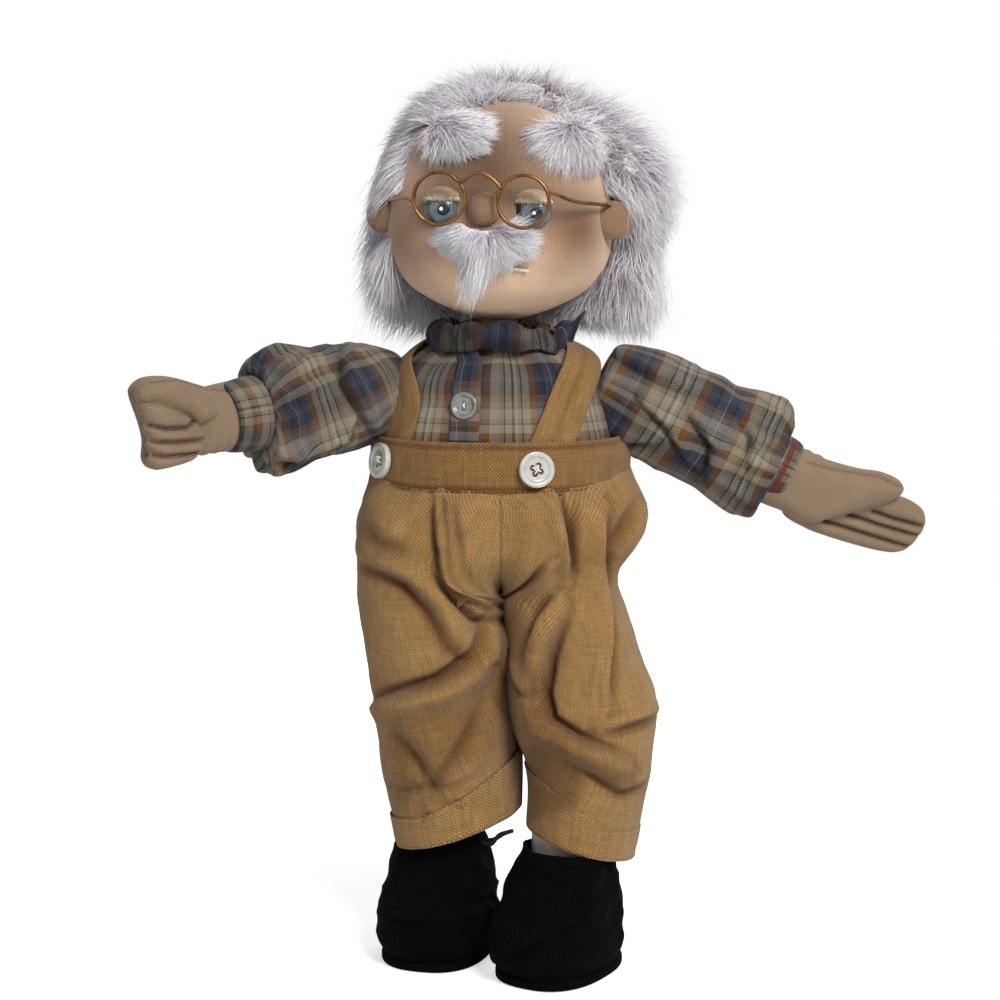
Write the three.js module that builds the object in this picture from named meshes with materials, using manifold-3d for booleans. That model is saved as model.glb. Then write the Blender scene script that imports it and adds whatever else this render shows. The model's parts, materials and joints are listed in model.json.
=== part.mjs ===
// A stuffed cloth doll of an old man, standing on its own two shoes.
// Millimetres, +Z up. The doll looks along -Y, so its right side is at -X.
import * as THREE from 'three';
import { mergeVertices } from 'three/addons/utils/BufferGeometryUtils.js';
import Module from 'manifold-3d';

const wasm = await Module();
wasm.setup();

// Fits between neighbouring pieces, and cloth thicknesses
const gap = 0.3;
const turningEase = 0.6;
const shirtThickness = 1.2;
const trouserThickness = 1.4;
const bandThickness = 2.2;
const bandEase = 0.8;
const strapThickness = 1.6;
const tapeEase = 0.6;

// Stuffed torso, heights above its flat bottom
const torsoHeight = 83;
const torsoRounding = 5;
const hipWidth = 94;
const hipDepth = 64;
const bellyHeight = 28;
const bellyWidth = 100;
const bellyDepth = 72;
const chestHeight = 56;
const chestWidth = 90;
const chestDepth = 60;
const yokeHeight = 72;
const yokeWidth = 78;
const yokeDepth = 42;
const neckSeatWidth = 40;
const neckSeatDepth = 32;

// Neck: a ball seated in the torso and a stem that enters the head
const neckBallRadius = 13;
const neckSink = 8;
const neckStemRadius = 8;
const neckStemLength = 31;

// Head, heights from its widest level
const headWidth = 95;
const headDepth = 90;
const headUp = 47.5;
const headDown = 43.5;
const headRise = 60;
const headForward = 2;
const headYaw = -8;
const headRoll = 1.5;

// Face
const noseRadius = 6.6;
const noseHeight = 3;
const eyeRadius = 6.9;
const eyeBulge = 4.6;
const eyeSpread = 38;
const eyeHeight = 3;
const lidThickness = 1.3;
const lidRise = 3.6;
const lashDrop = 3.2;
const earLength = 16;
const earWidth = 20;
const earThickness = 8;
const mouthWidth = 30;
const mouthHeight = -21.5;
const mouthShift = 3;
const threadRadius = 0.6;
const browWidth = 33;
const browTall = 27;
const browThickness = 15;
const browSpread = 44;
const browShift = 7;
const browHeight = 30;
const moustacheWidth = 44;
const moustacheTall = 27;
const moustacheThickness = 15;
const moustacheHeight = -11;

// Wig of fur: how far it stands out from the head, and the edge round the face
const wigRight = 62;
const wigLeft = 76;
const wigTop = 62;
const wigBack = 57;
const wigHem = -43;
const hairlineTopForward = 27;
const hairlineHemBack = 7;
const napeRise = 15;

// Spectacles of one bent wire
const wireRadius = 0.8;
const rimDiameter = 23;
const rimSpread = 35;
const rimHeight = 6.5;
const rimStandOff = 8;
const rimPitch = 2.3;
const rightRimTurns = 1.375;
const leftRimTurns = 1.125;
const rimSteps = 16;
const bridgeRise = 7;
const templeInset = 5;
const templeDrop = 2;
const earClearance = 2.6;

// Shirt
const shirtHemHeight = 12;
const shirtNeckHeight = 81;
const collarTall = 6.5;
const collarFlare = 7;
const collarWave = 1.4;
const placketWidth = 13;
const placketTurn = -18;
const shirtButtonDiameter = 11.4;
const shirtButtonThickness = 2.4;
const shirtButtonHeight = 57;

// Arms, lengths from the shoulder centre
const shoulderSpan = 106;
const shoulderHeight = 60;
const shoulderBallRadius = 7;
const shoulderSweepRadius = 11;
const shoulderStubAngle = 22;
const shoulderStubReach = 12;
const armRimAlong = 4;
const armRadius = 10;
const wristRadius = 9.8;
const armLength = 70;
const sleeveRadius = 26;
const sleeveEndRadius = 16.5;
const sleeveHeadReach = 9;
const sleeveFold = 1.3;
const cuffLength = 15;
const cuffRadius = 14.6;
const cuffTaper = 1;
const cuffOverlap = 2;
const wristShow = 2;
const fistLength = 50;
const fistTall = 36;
const fistThickness = 25;
const mittLength = 72;
const mittWidth = 34;
const mittThickness = 17;
const rightArmDroop = 6;
const rightArmSwing = 38;
const leftArmDroop = 24.5;

// Suspenders and waistband
const strapWidth = 17;
const strapBackTurn = 28;
const rightStrapFoot = -58;
const leftStrapFoot = 17;
const bandBottom = 23;
const bandTall = 20;
const bandButtonDiameter = 15;
const bandButtonThickness = 3.2;
const rightButtonTurn = -58;
const leftButtonTurn = 15;

// Trousers
const seatWidth = 122;
const seatDepth = 82;
const seatDrop = 17;
const pleatDepth = 3;
const legFold = 3.2;
const inseamDrift = 8.5;
const inseamGap = 1.2;
const hemTall = 19;
const hemThickness = 1.6;
const hemEase = 0.5;

// Stuffed legs and shoes
const hipHeight = 170;
const legRadius = 16.5;
const ankleRadius = 15;
const footHeight = 26;
const shoeLength = 64;
const shoeWidth = 49;
const shoeTall = 44;
const soleThickness = 4.5;
const soleMargin = 0.9;
const ankleSetback = 7;
const laceRadius = 0.9;

// What differs between the two legs: the leg's and shoe's places and the trouser leg's outline
const legSides = {
  right: {
    side: -1, legX: -24, shoeX: -26.5, shoeY: -2, kneeReach: 57, hemReach: 48,
    hemDepth: 56, hemY: 3, outerHem: 50, innerHem: 67,
  },
  left: {
    side: 1, legX: 31, shoeX: 25.5, shoeY: -26, kneeReach: 67, hemReach: 58,
    hemDepth: 60, hemY: -10, outerHem: 48, innerHem: 60,
  },
};

const radians = THREE.MathUtils.degToRad;
const smooth = THREE.MathUtils.smoothstep;
const mix = THREE.MathUtils.lerp;

const knit = { color: 0xb08f6d, roughness: 0.95, metalness: 0 };
const fur = { color: 0xe9e5f0, roughness: 0.9, metalness: 0 };
const plaid = { color: 0x6c7585, roughness: 0.9, metalness: 0 };
const linen = { color: 0xa9773a, roughness: 0.95, metalness: 0 };
const whiteCloth = { color: 0xe8e5df, roughness: 0.95, metalness: 0 };
const blackCloth = { color: 0x141414, roughness: 0.95, metalness: 0 };
const blackThread = { color: 0x0c0c0d, roughness: 0.8, metalness: 0 };
const whiteThread = { color: 0xefece6, roughness: 0.8, metalness: 0 };
const whitePlastic = { color: 0xe9e7e1, roughness: 0.3, metalness: 0 };
const greyPlastic = { color: 0x9a9b9b, roughness: 0.3, metalness: 0 };
const eyePlastic = { color: 0x8fa0a6, roughness: 0.15, metalness: 0 };
const copperWire = { color: 0xa26a3e, roughness: 0.3, metalness: 1 };

// Values between the rows of a profile follow a smooth curve. A row is [position, value, value...].
function profileAt(rows, position) {
  const last = rows.length - 2;
  const found = rows.findIndex((row) => row[0] > position) - 1;
  const i = THREE.MathUtils.clamp(found < -1 ? last : found, 0, last);
  const [before, from, to] = [rows[Math.max(i - 1, 0)], rows[i], rows[i + 1]];
  const after = rows[Math.min(i + 2, last + 1)];
  const span = to[0] - from[0];
  const t = THREE.MathUtils.clamp((position - from[0]) / span, 0, 1);
  return from.slice(1).map((value, k) => {
    const slopeFrom = ((to[k + 1] - before[k + 1]) / (to[0] - before[0])) * span;
    const slopeTo = ((after[k + 1] - from[k + 1]) / (after[0] - from[0])) * span;
    const start = (2 * t ** 3 - 3 * t ** 2 + 1) * value + (t ** 3 - 2 * t ** 2 + t) * slopeFrom;
    return start + (3 * t ** 2 - 2 * t ** 3) * to[k + 1] + (t ** 3 - t ** 2) * slopeTo;
  });
}

function steps(from, to, count) {
  return Array.from({ length: count + 1 }, (_, i) => mix(from, to, i / count));
}

// A closed outline square to Z: an oval that grows squarer as its power rises above 2.
function oval(count, halfWidth, halfDepth, z, { x = 0, y = 0, power = 2, swell = () => 0 } = {}) {
  return Array.from({ length: count }, (_, i) => {
    const angle = (2 * Math.PI * i) / count;
    const c = Math.cos(angle);
    const s = Math.sin(angle);
    const reach = (Math.abs(c) ** power + Math.abs(s) ** power) ** (-1 / power);
    const out = swell(angle);
    return new THREE.Vector3(x + (halfWidth + out) * c * reach, y + (halfDepth + out) * s * reach, z);
  });
}

// The same outline turned to stand square to X, for limbs that lie along X.
function acrossX(ring, side) {
  return ring.map((p) => new THREE.Vector3(side * p.z, p.x, p.y));
}

function indexed(points, triangles) {
  const geometry = new THREE.BufferGeometry();
  const coordinates = points.flatMap((p) => p.toArray());
  geometry.setAttribute('position', new THREE.Float32BufferAttribute(coordinates, 3));
  const volume = triangles.reduce((sum, [a, b, c]) => {
    return sum + points[a].dot(new THREE.Vector3().crossVectors(points[b], points[c]));
  }, 0);
  const outward = volume > 0 ? triangles : triangles.map(([a, b, c]) => [a, c, b]);
  geometry.setIndex(outward.flat());
  return geometry;
}

function wallBetween(count, rows, flip = false, first = 0) {
  const triangles = [];
  for (let row = 0; row < rows - 1; row += 1) {
    for (let i = 0; i < count; i += 1) {
      const next = (i + 1) % count;
      const [a, b] = [first + row * count + i, first + row * count + next];
      const [c, d] = [first + (row + 1) * count + next, first + (row + 1) * count + i];
      triangles.push(...(flip ? [[a, c, b], [a, d, c]] : [[a, b, c], [a, c, d]]));
    }
  }
  return triangles;
}

// A stuffed form through a stack of outlines, closed at both ends.
function loft(rings) {
  const count = rings[0].length;
  const middle = (ring) => ring.reduce((sum, p) => sum.add(p), new THREE.Vector3()).divideScalar(count);
  const points = [...rings.flat(), middle(rings[0]), middle(rings.at(-1))];
  const [low, high] = [points.length - 2, points.length - 1];
  const top = (rings.length - 1) * count;
  const triangles = wallBetween(count, rings.length);
  for (let i = 0; i < count; i += 1) {
    const next = (i + 1) % count;
    triangles.push([low, next, i], [high, top + i, top + next]);
  }
  return indexed(points, triangles);
}

// A cloth tube open at both ends: an outer and an inner wall joined along the two rims.
function clothTube(outer, inner) {
  const count = outer[0].length;
  const rows = outer.length;
  const shift = rows * count;
  const triangles = [...wallBetween(count, rows), ...wallBetween(count, rows, true, shift)];
  const top = (rows - 1) * count;
  for (let i = 0; i < count; i += 1) {
    const next = (i + 1) % count;
    const [rimOut, rimOutNext, rimIn, rimInNext] = [top + i, top + next, shift + top + i, shift + top + next];
    triangles.push([i, shift + i, shift + next], [i, shift + next, next]);
    triangles.push([rimOut, rimInNext, rimIn], [rimOut, rimOutNext, rimInNext]);
  }
  return indexed([...outer.flat(), ...inner.flat()], triangles);
}

function ellipsoid(halfX, halfY, halfZ, options = {}) {
  const { x = 0, y = 0, z = 0, around = 14, turnX = 0, turnY = 0, turnZ = 0 } = options;
  const geometry = new THREE.SphereGeometry(1, around, Math.round(around * 0.6));
  geometry.scale(halfX, halfY, halfZ);
  geometry.rotateX(radians(turnX)).rotateY(radians(turnY)).rotateZ(radians(turnZ));
  return geometry.translate(x, y, z);
}

function box(fromX, toX, fromY, toY, fromZ, toZ) {
  const geometry = new THREE.BoxGeometry(toX - fromX, toY - fromY, toZ - fromZ);
  return geometry.translate((fromX + toX) / 2, (fromY + toY) / 2, (fromZ + toZ) / 2);
}

function wire(points, radius, pathSteps, sides = 6) {
  const section = new THREE.Shape(
    Array.from({ length: sides }, (_, i) => {
      const angle = (2 * Math.PI * i) / sides;
      return new THREE.Vector2(radius * Math.cos(angle), radius * Math.sin(angle));
    }),
  );
  const path = new THREE.CatmullRomCurve3(points, false, 'centripetal');
  return new THREE.ExtrudeGeometry(section, { steps: pathSteps, extrudePath: path, curveSegments: 1 });
}

function solid(geometry) {
  const bare = geometry.clone();
  bare.deleteAttribute('normal');
  bare.deleteAttribute('uv');
  const merged = mergeVertices(bare, 1e-4);
  const corners = merged.getIndex().array;
  const triVerts = [];
  for (let i = 0; i < corners.length; i += 3) {
    const [a, b, c] = corners.slice(i, i + 3);
    if (a !== b && b !== c && c !== a) triVerts.push(a, b, c);
  }
  const vertProperties = new Float32Array(merged.getAttribute('position').array);
  const mesh = new wasm.Mesh({ numProp: 3, vertProperties, triVerts: new Uint32Array(triVerts) });
  return new wasm.Manifold(mesh);
}

function geometryOf(body) {
  const { vertProperties, triVerts } = body.getMesh();
  const geometry = new THREE.BufferGeometry();
  geometry.setAttribute('position', new THREE.BufferAttribute(new Float32Array(vertProperties), 3));
  geometry.setIndex(Array.from(triVerts));
  return geometry;
}

// Trimming a cloth edge can leave scraps, and only the main piece is kept
function mainPiece(geometry) {
  const pieces = solid(geometry).decompose();
  return geometryOf(pieces.reduce((main, piece) => (piece.volume() > main.volume() ? piece : main)));
}

function cut(geometry, ...tools) {
  return geometryOf(tools.map(solid).reduce((body, tool) => body.subtract(tool), solid(geometry)));
}

function join(...pieces) {
  return geometryOf(pieces.map(solid).reduce((body, piece) => body.add(piece)));
}

function overlap(geometry, other) {
  return geometryOf(solid(geometry).intersect(solid(other)));
}

function place(parent, x, y, z) {
  const group = new THREE.Group();
  group.position.set(x, y, z);
  parent.add(group);
  return group;
}

function addPart(group, name, geometry, finish) {
  geometry.computeVertexNormals();
  const mesh = new THREE.Mesh(geometry, new THREE.MeshStandardMaterial(finish));
  mesh.name = name;
  group.add(mesh);
  return mesh;
}

// The frames of the moving bodies
const doll = new THREE.Group();
const torso = place(doll, 0, 0, hipHeight + legRadius + gap);
const neck = place(torso, 0, 0, torsoHeight - neckSink);
const head = place(neck, 0, -headForward, headRise);
head.rotation.set(0, radians(headRoll), radians(headYaw), 'ZYX');
const arms = {
  right: place(torso, -shoulderSpan / 2, 0, shoulderHeight),
  left: place(torso, shoulderSpan / 2, 0, shoulderHeight),
};
arms.right.rotation.set(0, radians(-rightArmDroop), radians(rightArmSwing), 'YZX');
arms.left.rotation.set(0, radians(leftArmDroop), 0, 'YZX');
const legs = { right: place(doll, 0, 0, hipHeight), left: place(doll, 0, 0, hipHeight) };
doll.updateMatrixWorld(true);

function carried(geometry, from, to) {
  const shift = to.matrixWorld.clone().invert().multiply(from.matrixWorld);
  return geometry.clone().applyMatrix4(shift);
}

// Torso: a stuffed bag that every layer of clothing follows at its own stand-off
const torsoRows = [
  [0, hipWidth / 2 - torsoRounding, hipDepth / 2 - torsoRounding],
  [torsoRounding, hipWidth / 2, hipDepth / 2],
  [bellyHeight, bellyWidth / 2, bellyDepth / 2],
  [chestHeight, chestWidth / 2, chestDepth / 2],
  [yokeHeight, yokeWidth / 2, yokeDepth / 2],
  [torsoHeight, neckSeatWidth / 2, neckSeatDepth / 2],
];
const torsoPower = 2.3;
const torsoSides = 22;
const lift = (height) => smooth(height, chestHeight, torsoHeight);

function torsoRing(height, standOff) {
  const [halfWidth, halfDepth] = profileAt(torsoRows, height);
  const z = height + standOff * lift(height);
  return oval(torsoSides, halfWidth + standOff, halfDepth + standOff, z, { power: torsoPower });
}

// A point of the stood-off torso, turned from the front towards the doll's left
function torsoAt(turn, height, standOff) {
  const [halfWidth, halfDepth] = profileAt(torsoRows, height).map((half) => half + standOff);
  const [c, s] = [Math.sin(radians(turn)), -Math.cos(radians(turn))];
  const reach = (Math.abs(c) ** torsoPower + Math.abs(s) ** torsoPower) ** (-1 / torsoPower);
  return new THREE.Vector3(halfWidth * c * reach, halfDepth * s * reach, height + standOff * lift(height));
}

// Below 1 inside the stood-off torso, 1 on its surface
function torsoFill(p, standOff) {
  const [halfWidth, halfDepth] = profileAt(torsoRows, p.z - standOff * lift(p.z));
  const across = Math.abs(p.x / (halfWidth + standOff)) ** torsoPower;
  const level = across + Math.abs(p.y / (halfDepth + standOff)) ** torsoPower;
  return p.z > torsoHeight + standOff ? 2 : level;
}

// The point of the stood-off torso on the ray from its middle through a given point
function onTorso(point, standOff) {
  const middle = new THREE.Vector3(0, 0, bellyHeight);
  const ray = point.clone().sub(middle).normalize();
  let [near, far] = [0, torsoHeight + bellyWidth];
  for (let i = 0; i < 40; i += 1) {
    const reach = (near + far) / 2;
    const inside = torsoFill(middle.clone().addScaledVector(ray, reach), standOff) < 1;
    [near, far] = inside ? [reach, far] : [near, reach];
  }
  return middle.addScaledVector(ray, near);
}

function torsoNormal(point, standOff) {
  const small = 0.05;
  const slope = ['x', 'y', 'z'].map((axis) => {
    const step = new THREE.Vector3();
    step[axis] = small;
    return torsoFill(point.clone().add(step), standOff) - torsoFill(point.clone().sub(step), standOff);
  });
  return new THREE.Vector3(...slope).normalize();
}

// A flat tape laid on the stood-off torso along a route
function tape(route, width, thickness, standOffAt, pathSteps) {
  const path = new THREE.CatmullRomCurve3(route, false, 'centripetal');
  const across = 3;
  const rings = steps(0, 1, pathSteps).map((t) => {
    const standOff = standOffAt(t);
    const middle = onTorso(path.getPoint(t), standOff);
    const sideways = path.getTangent(t).cross(torsoNormal(middle, standOff)).normalize();
    const edge = (k) => middle.clone().addScaledVector(sideways, (k / across - 0.5) * width);
    const under = steps(0, across, across).map((k) => onTorso(edge(k), standOff));
    const over = steps(across, 0, across).map((k) => onTorso(edge(k), standOff + thickness));
    return [...under, ...over];
  });
  return loft(rings);
}

const shirtLevels = steps(shirtHemHeight, shirtNeckHeight, 8);
const torsoLevels = [...steps(0, shirtHemHeight, 2).slice(0, -1), ...shirtLevels, torsoHeight];
const torsoShape = (standOff) => loft(torsoLevels.map((height) => torsoRing(height, standOff)));
const shoulderX = shoulderSpan / 2;

function ball(radius, place3, around = 12) {
  return ellipsoid(radius, radius, radius, { ...place3, around });
}

// A stuffed stub stands out of each side of the torso and is cupped for the shoulder ball
function shoulderStub(side) {
  const stubRadius = shoulderStubReach * Math.tan(radians(shoulderStubAngle));
  const stub = new THREE.ConeGeometry(stubRadius, shoulderStubReach, 12);
  stub.translate(0, -shoulderStubReach / 2, 0).rotateZ(side * radians(-90));
  return stub.translate(side * shoulderX, 0, shoulderHeight);
}

// The arm sweeps a hollow round the stub
function shoulderHollow(side) {
  const at = { x: side * shoulderX, z: shoulderHeight };
  const swept = cut(ball(shoulderSweepRadius, at), shoulderStub(side));
  return join(swept, ball(shoulderBallRadius + turningEase, at));
}

const neckSocket = ball(neckBallRadius + turningEase, { z: torsoHeight - neckSink }, 14);
const stuffedTorso = join(torsoShape(0), shoulderStub(-1), shoulderStub(1));
addPart(torso, 'torso', cut(stuffedTorso, neckSocket, shoulderHollow(-1), shoulderHollow(1)), whiteCloth);

const neckProfile = [new THREE.Vector2(0, -neckBallRadius)];
const neckShoulder = Math.acos(neckStemRadius / neckBallRadius);
steps(-Math.PI / 2, neckShoulder, 7).slice(1).forEach((angle) => {
  neckProfile.push(new THREE.Vector2(neckBallRadius * Math.cos(angle), neckBallRadius * Math.sin(angle)));
});
neckProfile.push(new THREE.Vector2(neckStemRadius, neckStemLength), new THREE.Vector2(0, neckStemLength));
const neckShape = new THREE.LatheGeometry(neckProfile, 14).rotateX(Math.PI / 2);
addPart(neck, 'neck', geometryOf(solid(neckShape)), knit);

for (const [name, side] of [['right', -1], ['left', 1]]) {
  const at = { x: side * shoulderX, z: shoulderHeight };
  addPart(torso, `shoulder_ball_${name}`, ball(shoulderBallRadius, at), whiteCloth);
}

// Shirt: body with armholes, placket, button and a soft standing collar
const shirtOut = gap + shirtThickness;
const shirtShape = clothTube(
  shirtLevels.map((height) => torsoRing(height, shirtOut)),
  shirtLevels.map((height) => torsoRing(height, gap)),
);
const armholes = [-1, 1].map((side) => {
  return ball(shoulderSweepRadius, { x: side * shoulderX, z: shoulderHeight });
});
addPart(torso, 'shirt_body', cut(shirtShape, ...armholes), plaid);

const onShirt = shirtOut + tapeEase;
const clothedTorso = torsoShape(shirtOut + gap);
const placketRoute = [bandBottom, shirtButtonHeight, yokeHeight].map((height) => {
  return torsoAt(placketTurn, height, onShirt);
});
addPart(torso, 'shirt_placket', tape(placketRoute, placketWidth, shirtThickness, () => onShirt, 8), plaid);

function collarRing(rise, standOff) {
  const [halfWidth, halfDepth] = profileAt(torsoRows, shirtNeckHeight);
  const flare = collarFlare * (rise / collarTall);
  const wave = (angle) => {
    return standOff + flare * (0.7 + 0.3 * Math.cos(2 * angle)) + collarWave * Math.sin(5 * angle);
  };
  const z = shirtNeckHeight + shirtOut + gap + rise;
  return oval(torsoSides, halfWidth, halfDepth, z, { power: torsoPower, swell: wave });
}

const collarRises = steps(0, collarTall, 2);
const collar = clothTube(
  collarRises.map((rise) => collarRing(rise, shirtOut + gap)),
  collarRises.map((rise) => collarRing(rise, 2 * gap)),
);
addPart(torso, 'shirt_collar', collar, plaid);

// A sewn-on button: a rimmed disc with its holes, facing out along +Z
function button(diameter, thickness, holes) {
  const radius = diameter / 2;
  const rim = radius * 0.72;
  const profile = [
    [0, 0], [radius * 0.9, 0], [radius, thickness * 0.4], [radius * 0.9, thickness],
    [rim, thickness * 0.95], [rim * 0.9, thickness * 0.6], [0, thickness * 0.6],
  ].map(([x, y]) => new THREE.Vector2(x, y));
  const disc = new THREE.LatheGeometry(profile, 16).rotateX(Math.PI / 2);
  const holeRadius = diameter * 0.06;
  const spread = diameter * 0.12;
  const drills = steps(0, holes - 1, holes - 1).map((i) => {
    const angle = (2 * Math.PI * (i + 0.5)) / holes;
    const drill = new THREE.CylinderGeometry(holeRadius, holeRadius, 4 * thickness, 6).rotateX(Math.PI / 2);
    return drill.translate(spread * Math.cos(angle), spread * Math.sin(angle), 0);
  });
  return cut(disc, ...drills);
}

function addButton(name, seat, standOff, geometry, finish) {
  const facing = torsoNormal(seat, standOff);
  const mesh = addPart(torso, name, geometry, finish);
  mesh.position.copy(seat).addScaledVector(facing, gap);
  mesh.quaternion.setFromUnitVectors(new THREE.Vector3(0, 0, 1), facing);
}

const shirtButton = button(shirtButtonDiameter, shirtButtonThickness, 2);
const onPlacket = onShirt + shirtThickness;
const shirtButtonSeat = torsoAt(placketTurn, shirtButtonHeight, onPlacket);
addButton('shirt_button', shirtButtonSeat, onPlacket, shirtButton, greyPlastic);

// Suspenders: from behind the waistband over the shoulders, crossing at the back
function strapRoute(foot, side) {
  const tuck = bandBottom + 0.4 * bandTall;
  const stations = [
    [foot, tuck], [mix(foot, side * 50, 0.5), chestHeight], [side * 90, yokeHeight],
    [180, mix(chestHeight, yokeHeight, 0.4)], [180 + side * strapBackTurn, tuck],
  ];
  return stations.map(([turn, height]) => torsoAt(turn, height, onShirt));
}

// The left suspender rides over the right one where they cross
function overRight(t) {
  const risen = smooth(t, 0.58, 0.66) * (1 - smooth(t, 0.845, 0.895));
  return onShirt + (strapThickness + gap) * risen;
}

const strapSteps = 26;
const rightRoute = strapRoute(rightStrapFoot, -1);
const leftRoute = strapRoute(leftStrapFoot, 1);
const rightStrap = tape(rightRoute, strapWidth, strapThickness, () => onShirt, strapSteps);
const leftStrap = tape(leftRoute, strapWidth, strapThickness, overRight, strapSteps);
addPart(torso, 'suspender_right', rightStrap, linen);
addPart(torso, 'suspender_left', leftStrap, linen);

// Waistband: stands off by the thickness of the suspenders tucked behind it
const bandIn = onShirt + strapThickness + bandEase;
const bandOut = bandIn + bandThickness;
const bandHeights = steps(bandBottom, bandBottom + bandTall, 2);
const waistband = clothTube(
  bandHeights.map((height) => torsoRing(height, bandOut)),
  bandHeights.map((height) => torsoRing(height, bandIn)),
);
addPart(torso, 'waistband', waistband, linen);

const bandMiddle = bandBottom + bandTall / 2;
const bandButtons = [['right', rightButtonTurn], ['left', leftButtonTurn]];
for (const [name, turn] of bandButtons) {
  const fourHoles = button(bandButtonDiameter, bandButtonThickness, 4);
  const buttonSeat = torsoAt(turn, bandMiddle, bandOut);
  addButton(`waistband_button_${name}`, buttonSeat, bandOut, fourHoles, whitePlastic);
}

// Trouser seat: pleated below the waistband, swelling over the hips, ending level with the crotch
const seatTop = bandBottom - gap;
const pleatTurns = [-38, -8, 22, 42, 138, 172, -150];
const seatFloor = -seatDrop;

function pleats(angle) {
  const turn = THREE.MathUtils.radToDeg(angle) + 90;
  return pleatTurns.reduce((sum, pleat) => {
    const away = ((turn - pleat + 540) % 360) - 180;
    return sum - pleatDepth * Math.exp(-((away / 9) ** 2));
  }, 0);
}

function seatRing(height, inset) {
  const [topWidth, topDepth] = profileAt(torsoRows, seatTop);
  const rows = [
    [seatFloor, seatWidth / 2, seatDepth / 2],
    [mix(seatFloor, seatTop, 0.4), seatWidth / 2, seatDepth / 2],
    [seatTop, topWidth + bandOut, topDepth + bandOut],
  ];
  const [halfWidth, halfDepth] = profileAt(rows, height);
  const fade = 0.35 + 0.65 * smooth(height, seatFloor, seatTop);
  const swell = (angle) => fade * pleats(angle) - inset;
  return oval(36, halfWidth, halfDepth, height, { power: torsoPower, swell });
}

const seatHeights = steps(seatFloor, seatTop, 4);
const seat = clothTube(
  seatHeights.map((height) => seatRing(height, 0)),
  seatHeights.map((height) => seatRing(height, trouserThickness)),
);
addPart(torso, 'trouser_seat', seat, linen);

// Head: wide cheeks, a full chin and a flatter crown
const headRows = [
  [-1, 0.2], [-0.95, 0.34], [-0.78, 0.68], [-0.5, 0.93], [-0.22, 1], [0.05, 0.985],
  [0.3, 0.94], [0.55, 0.83], [0.75, 0.68], [0.9, 0.46], [1, 0.16],
];

function headSize(level) {
  const up = level < 0 ? headDown : headUp;
  const [share] = profileAt(headRows, level / up);
  return [(share * headWidth) / 2, (share * headDepth) / 2];
}

function onFace(x, level, standOff) {
  const [halfWidth, halfDepth] = headSize(level);
  const skin = new THREE.Vector3(x, -halfDepth * Math.sqrt(1 - (x / halfWidth) ** 2), level);
  return skin.addScaledVector(skin.clone().normalize(), standOff);
}

const headLevels = headRows.map(([share]) => share * (share < 0 ? headDown : headUp));
const headShape = loft(headLevels.map((level) => oval(20, ...headSize(level), level)));
const headGrowth = 1 + (2 * gap) / headDepth;
const headRoom = headShape.clone().scale(headGrowth, headGrowth, headGrowth);
const neckRoom = new THREE.CylinderGeometry(1, 1, 2, 14).rotateX(Math.PI / 2);
neckRoom.scale(neckStemRadius + turningEase, neckStemRadius + turningEase, neckStemLength + turningEase);
addPart(head, 'head', cut(headShape, carried(neckRoom, neck, head)), knit);

const noseSeat = onFace(0, noseHeight, 0);
const noseAt = (grow) => ball(noseRadius + grow, { y: noseSeat.y, z: noseSeat.z });
addPart(head, 'nose', cut(noseAt(0), headRoom), knit);

// Spectacles: one wire runs from ear to ear, once round each eye, and arches over the nose
function spectacleRoute() {
  const rimRadius = rimDiameter / 2;
  const face = -headDepth / 2 - rimStandOff;
  const ends = [-1, 1].map((side) => {
    const earX = side * (headWidth / 2 + earClearance);
    return [
      new THREE.Vector3(earX, -earThickness / 2 - 2 * wireRadius, rimHeight - templeDrop),
      new THREE.Vector3(side * (headWidth / 2 - templeInset), -headDepth * 0.31, rimHeight),
    ];
  });
  const loop = (side) => {
    const [start, turns] = side < 0 ? [Math.PI, rightRimTurns] : [Math.PI / 4, leftRimTurns];
    return steps(0, 1, rimSteps).map((t) => {
      const angle = start - 2 * Math.PI * turns * t;
      const x = (side * rimSpread) / 2 + rimRadius * Math.cos(angle);
      const forward = rimPitch * (side < 0 ? t : 1 - t);
      return new THREE.Vector3(x, face - forward, rimHeight + rimRadius * Math.sin(angle));
    });
  };
  const arch = new THREE.Vector3(0, face - rimPitch, rimHeight + rimRadius * 0.35 + bridgeRise);
  return [...ends[0], ...loop(-1), arch, ...loop(1), ...ends[1].reverse()];
}

const spectaclePoints = spectacleRoute();
const spectacleSteps = 3 * rimSteps + 16;
addPart(head, 'spectacles', wire(spectaclePoints, wireRadius, spectacleSteps, 5), copperWire);
const spectacleRoom = wire(spectaclePoints, wireRadius + gap, spectacleSteps, 5);

for (const [name, side] of [['right', -1], ['left', 1]]) {
  const eyeSeat = onFace((side * eyeSpread) / 2, eyeHeight, 0);
  const at = { x: eyeSeat.x, y: eyeSeat.y, z: eyeSeat.z };
  const dome = (grow) => ellipsoid(eyeRadius + grow, eyeBulge + grow, eyeRadius + grow, at);
  const lidEdge = eyeHeight + lidRise;
  const far = headWidth;
  const above = box(-far, far, -far, far, lidEdge, far);
  const fringe = box(-far, far, -far, far, lidEdge - lashDrop, lidEdge - gap);
  const lid = overlap(cut(dome(gap + lidThickness), dome(gap), headRoom), above);
  const lash = overlap(cut(dome(gap + lidThickness), dome(gap), headRoom), fringe);
  addPart(head, `eye_${name}`, cut(dome(0), headRoom), eyePlastic);
  addPart(head, `eyelid_${name}`, lid, knit);
  addPart(head, `lashes_${name}`, lash, whiteThread);
}

const mouthPoints = steps(-mouthWidth / 2, mouthWidth / 2, 6).map((x) => {
  return onFace(x + mouthShift, mouthHeight, threadRadius + 2 * gap);
});
addPart(head, 'mouth_thread', wire(mouthPoints, threadRadius, 10, 5), whiteThread);
const mouthRoom = wire(mouthPoints, threadRadius + gap, 10, 5);

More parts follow.
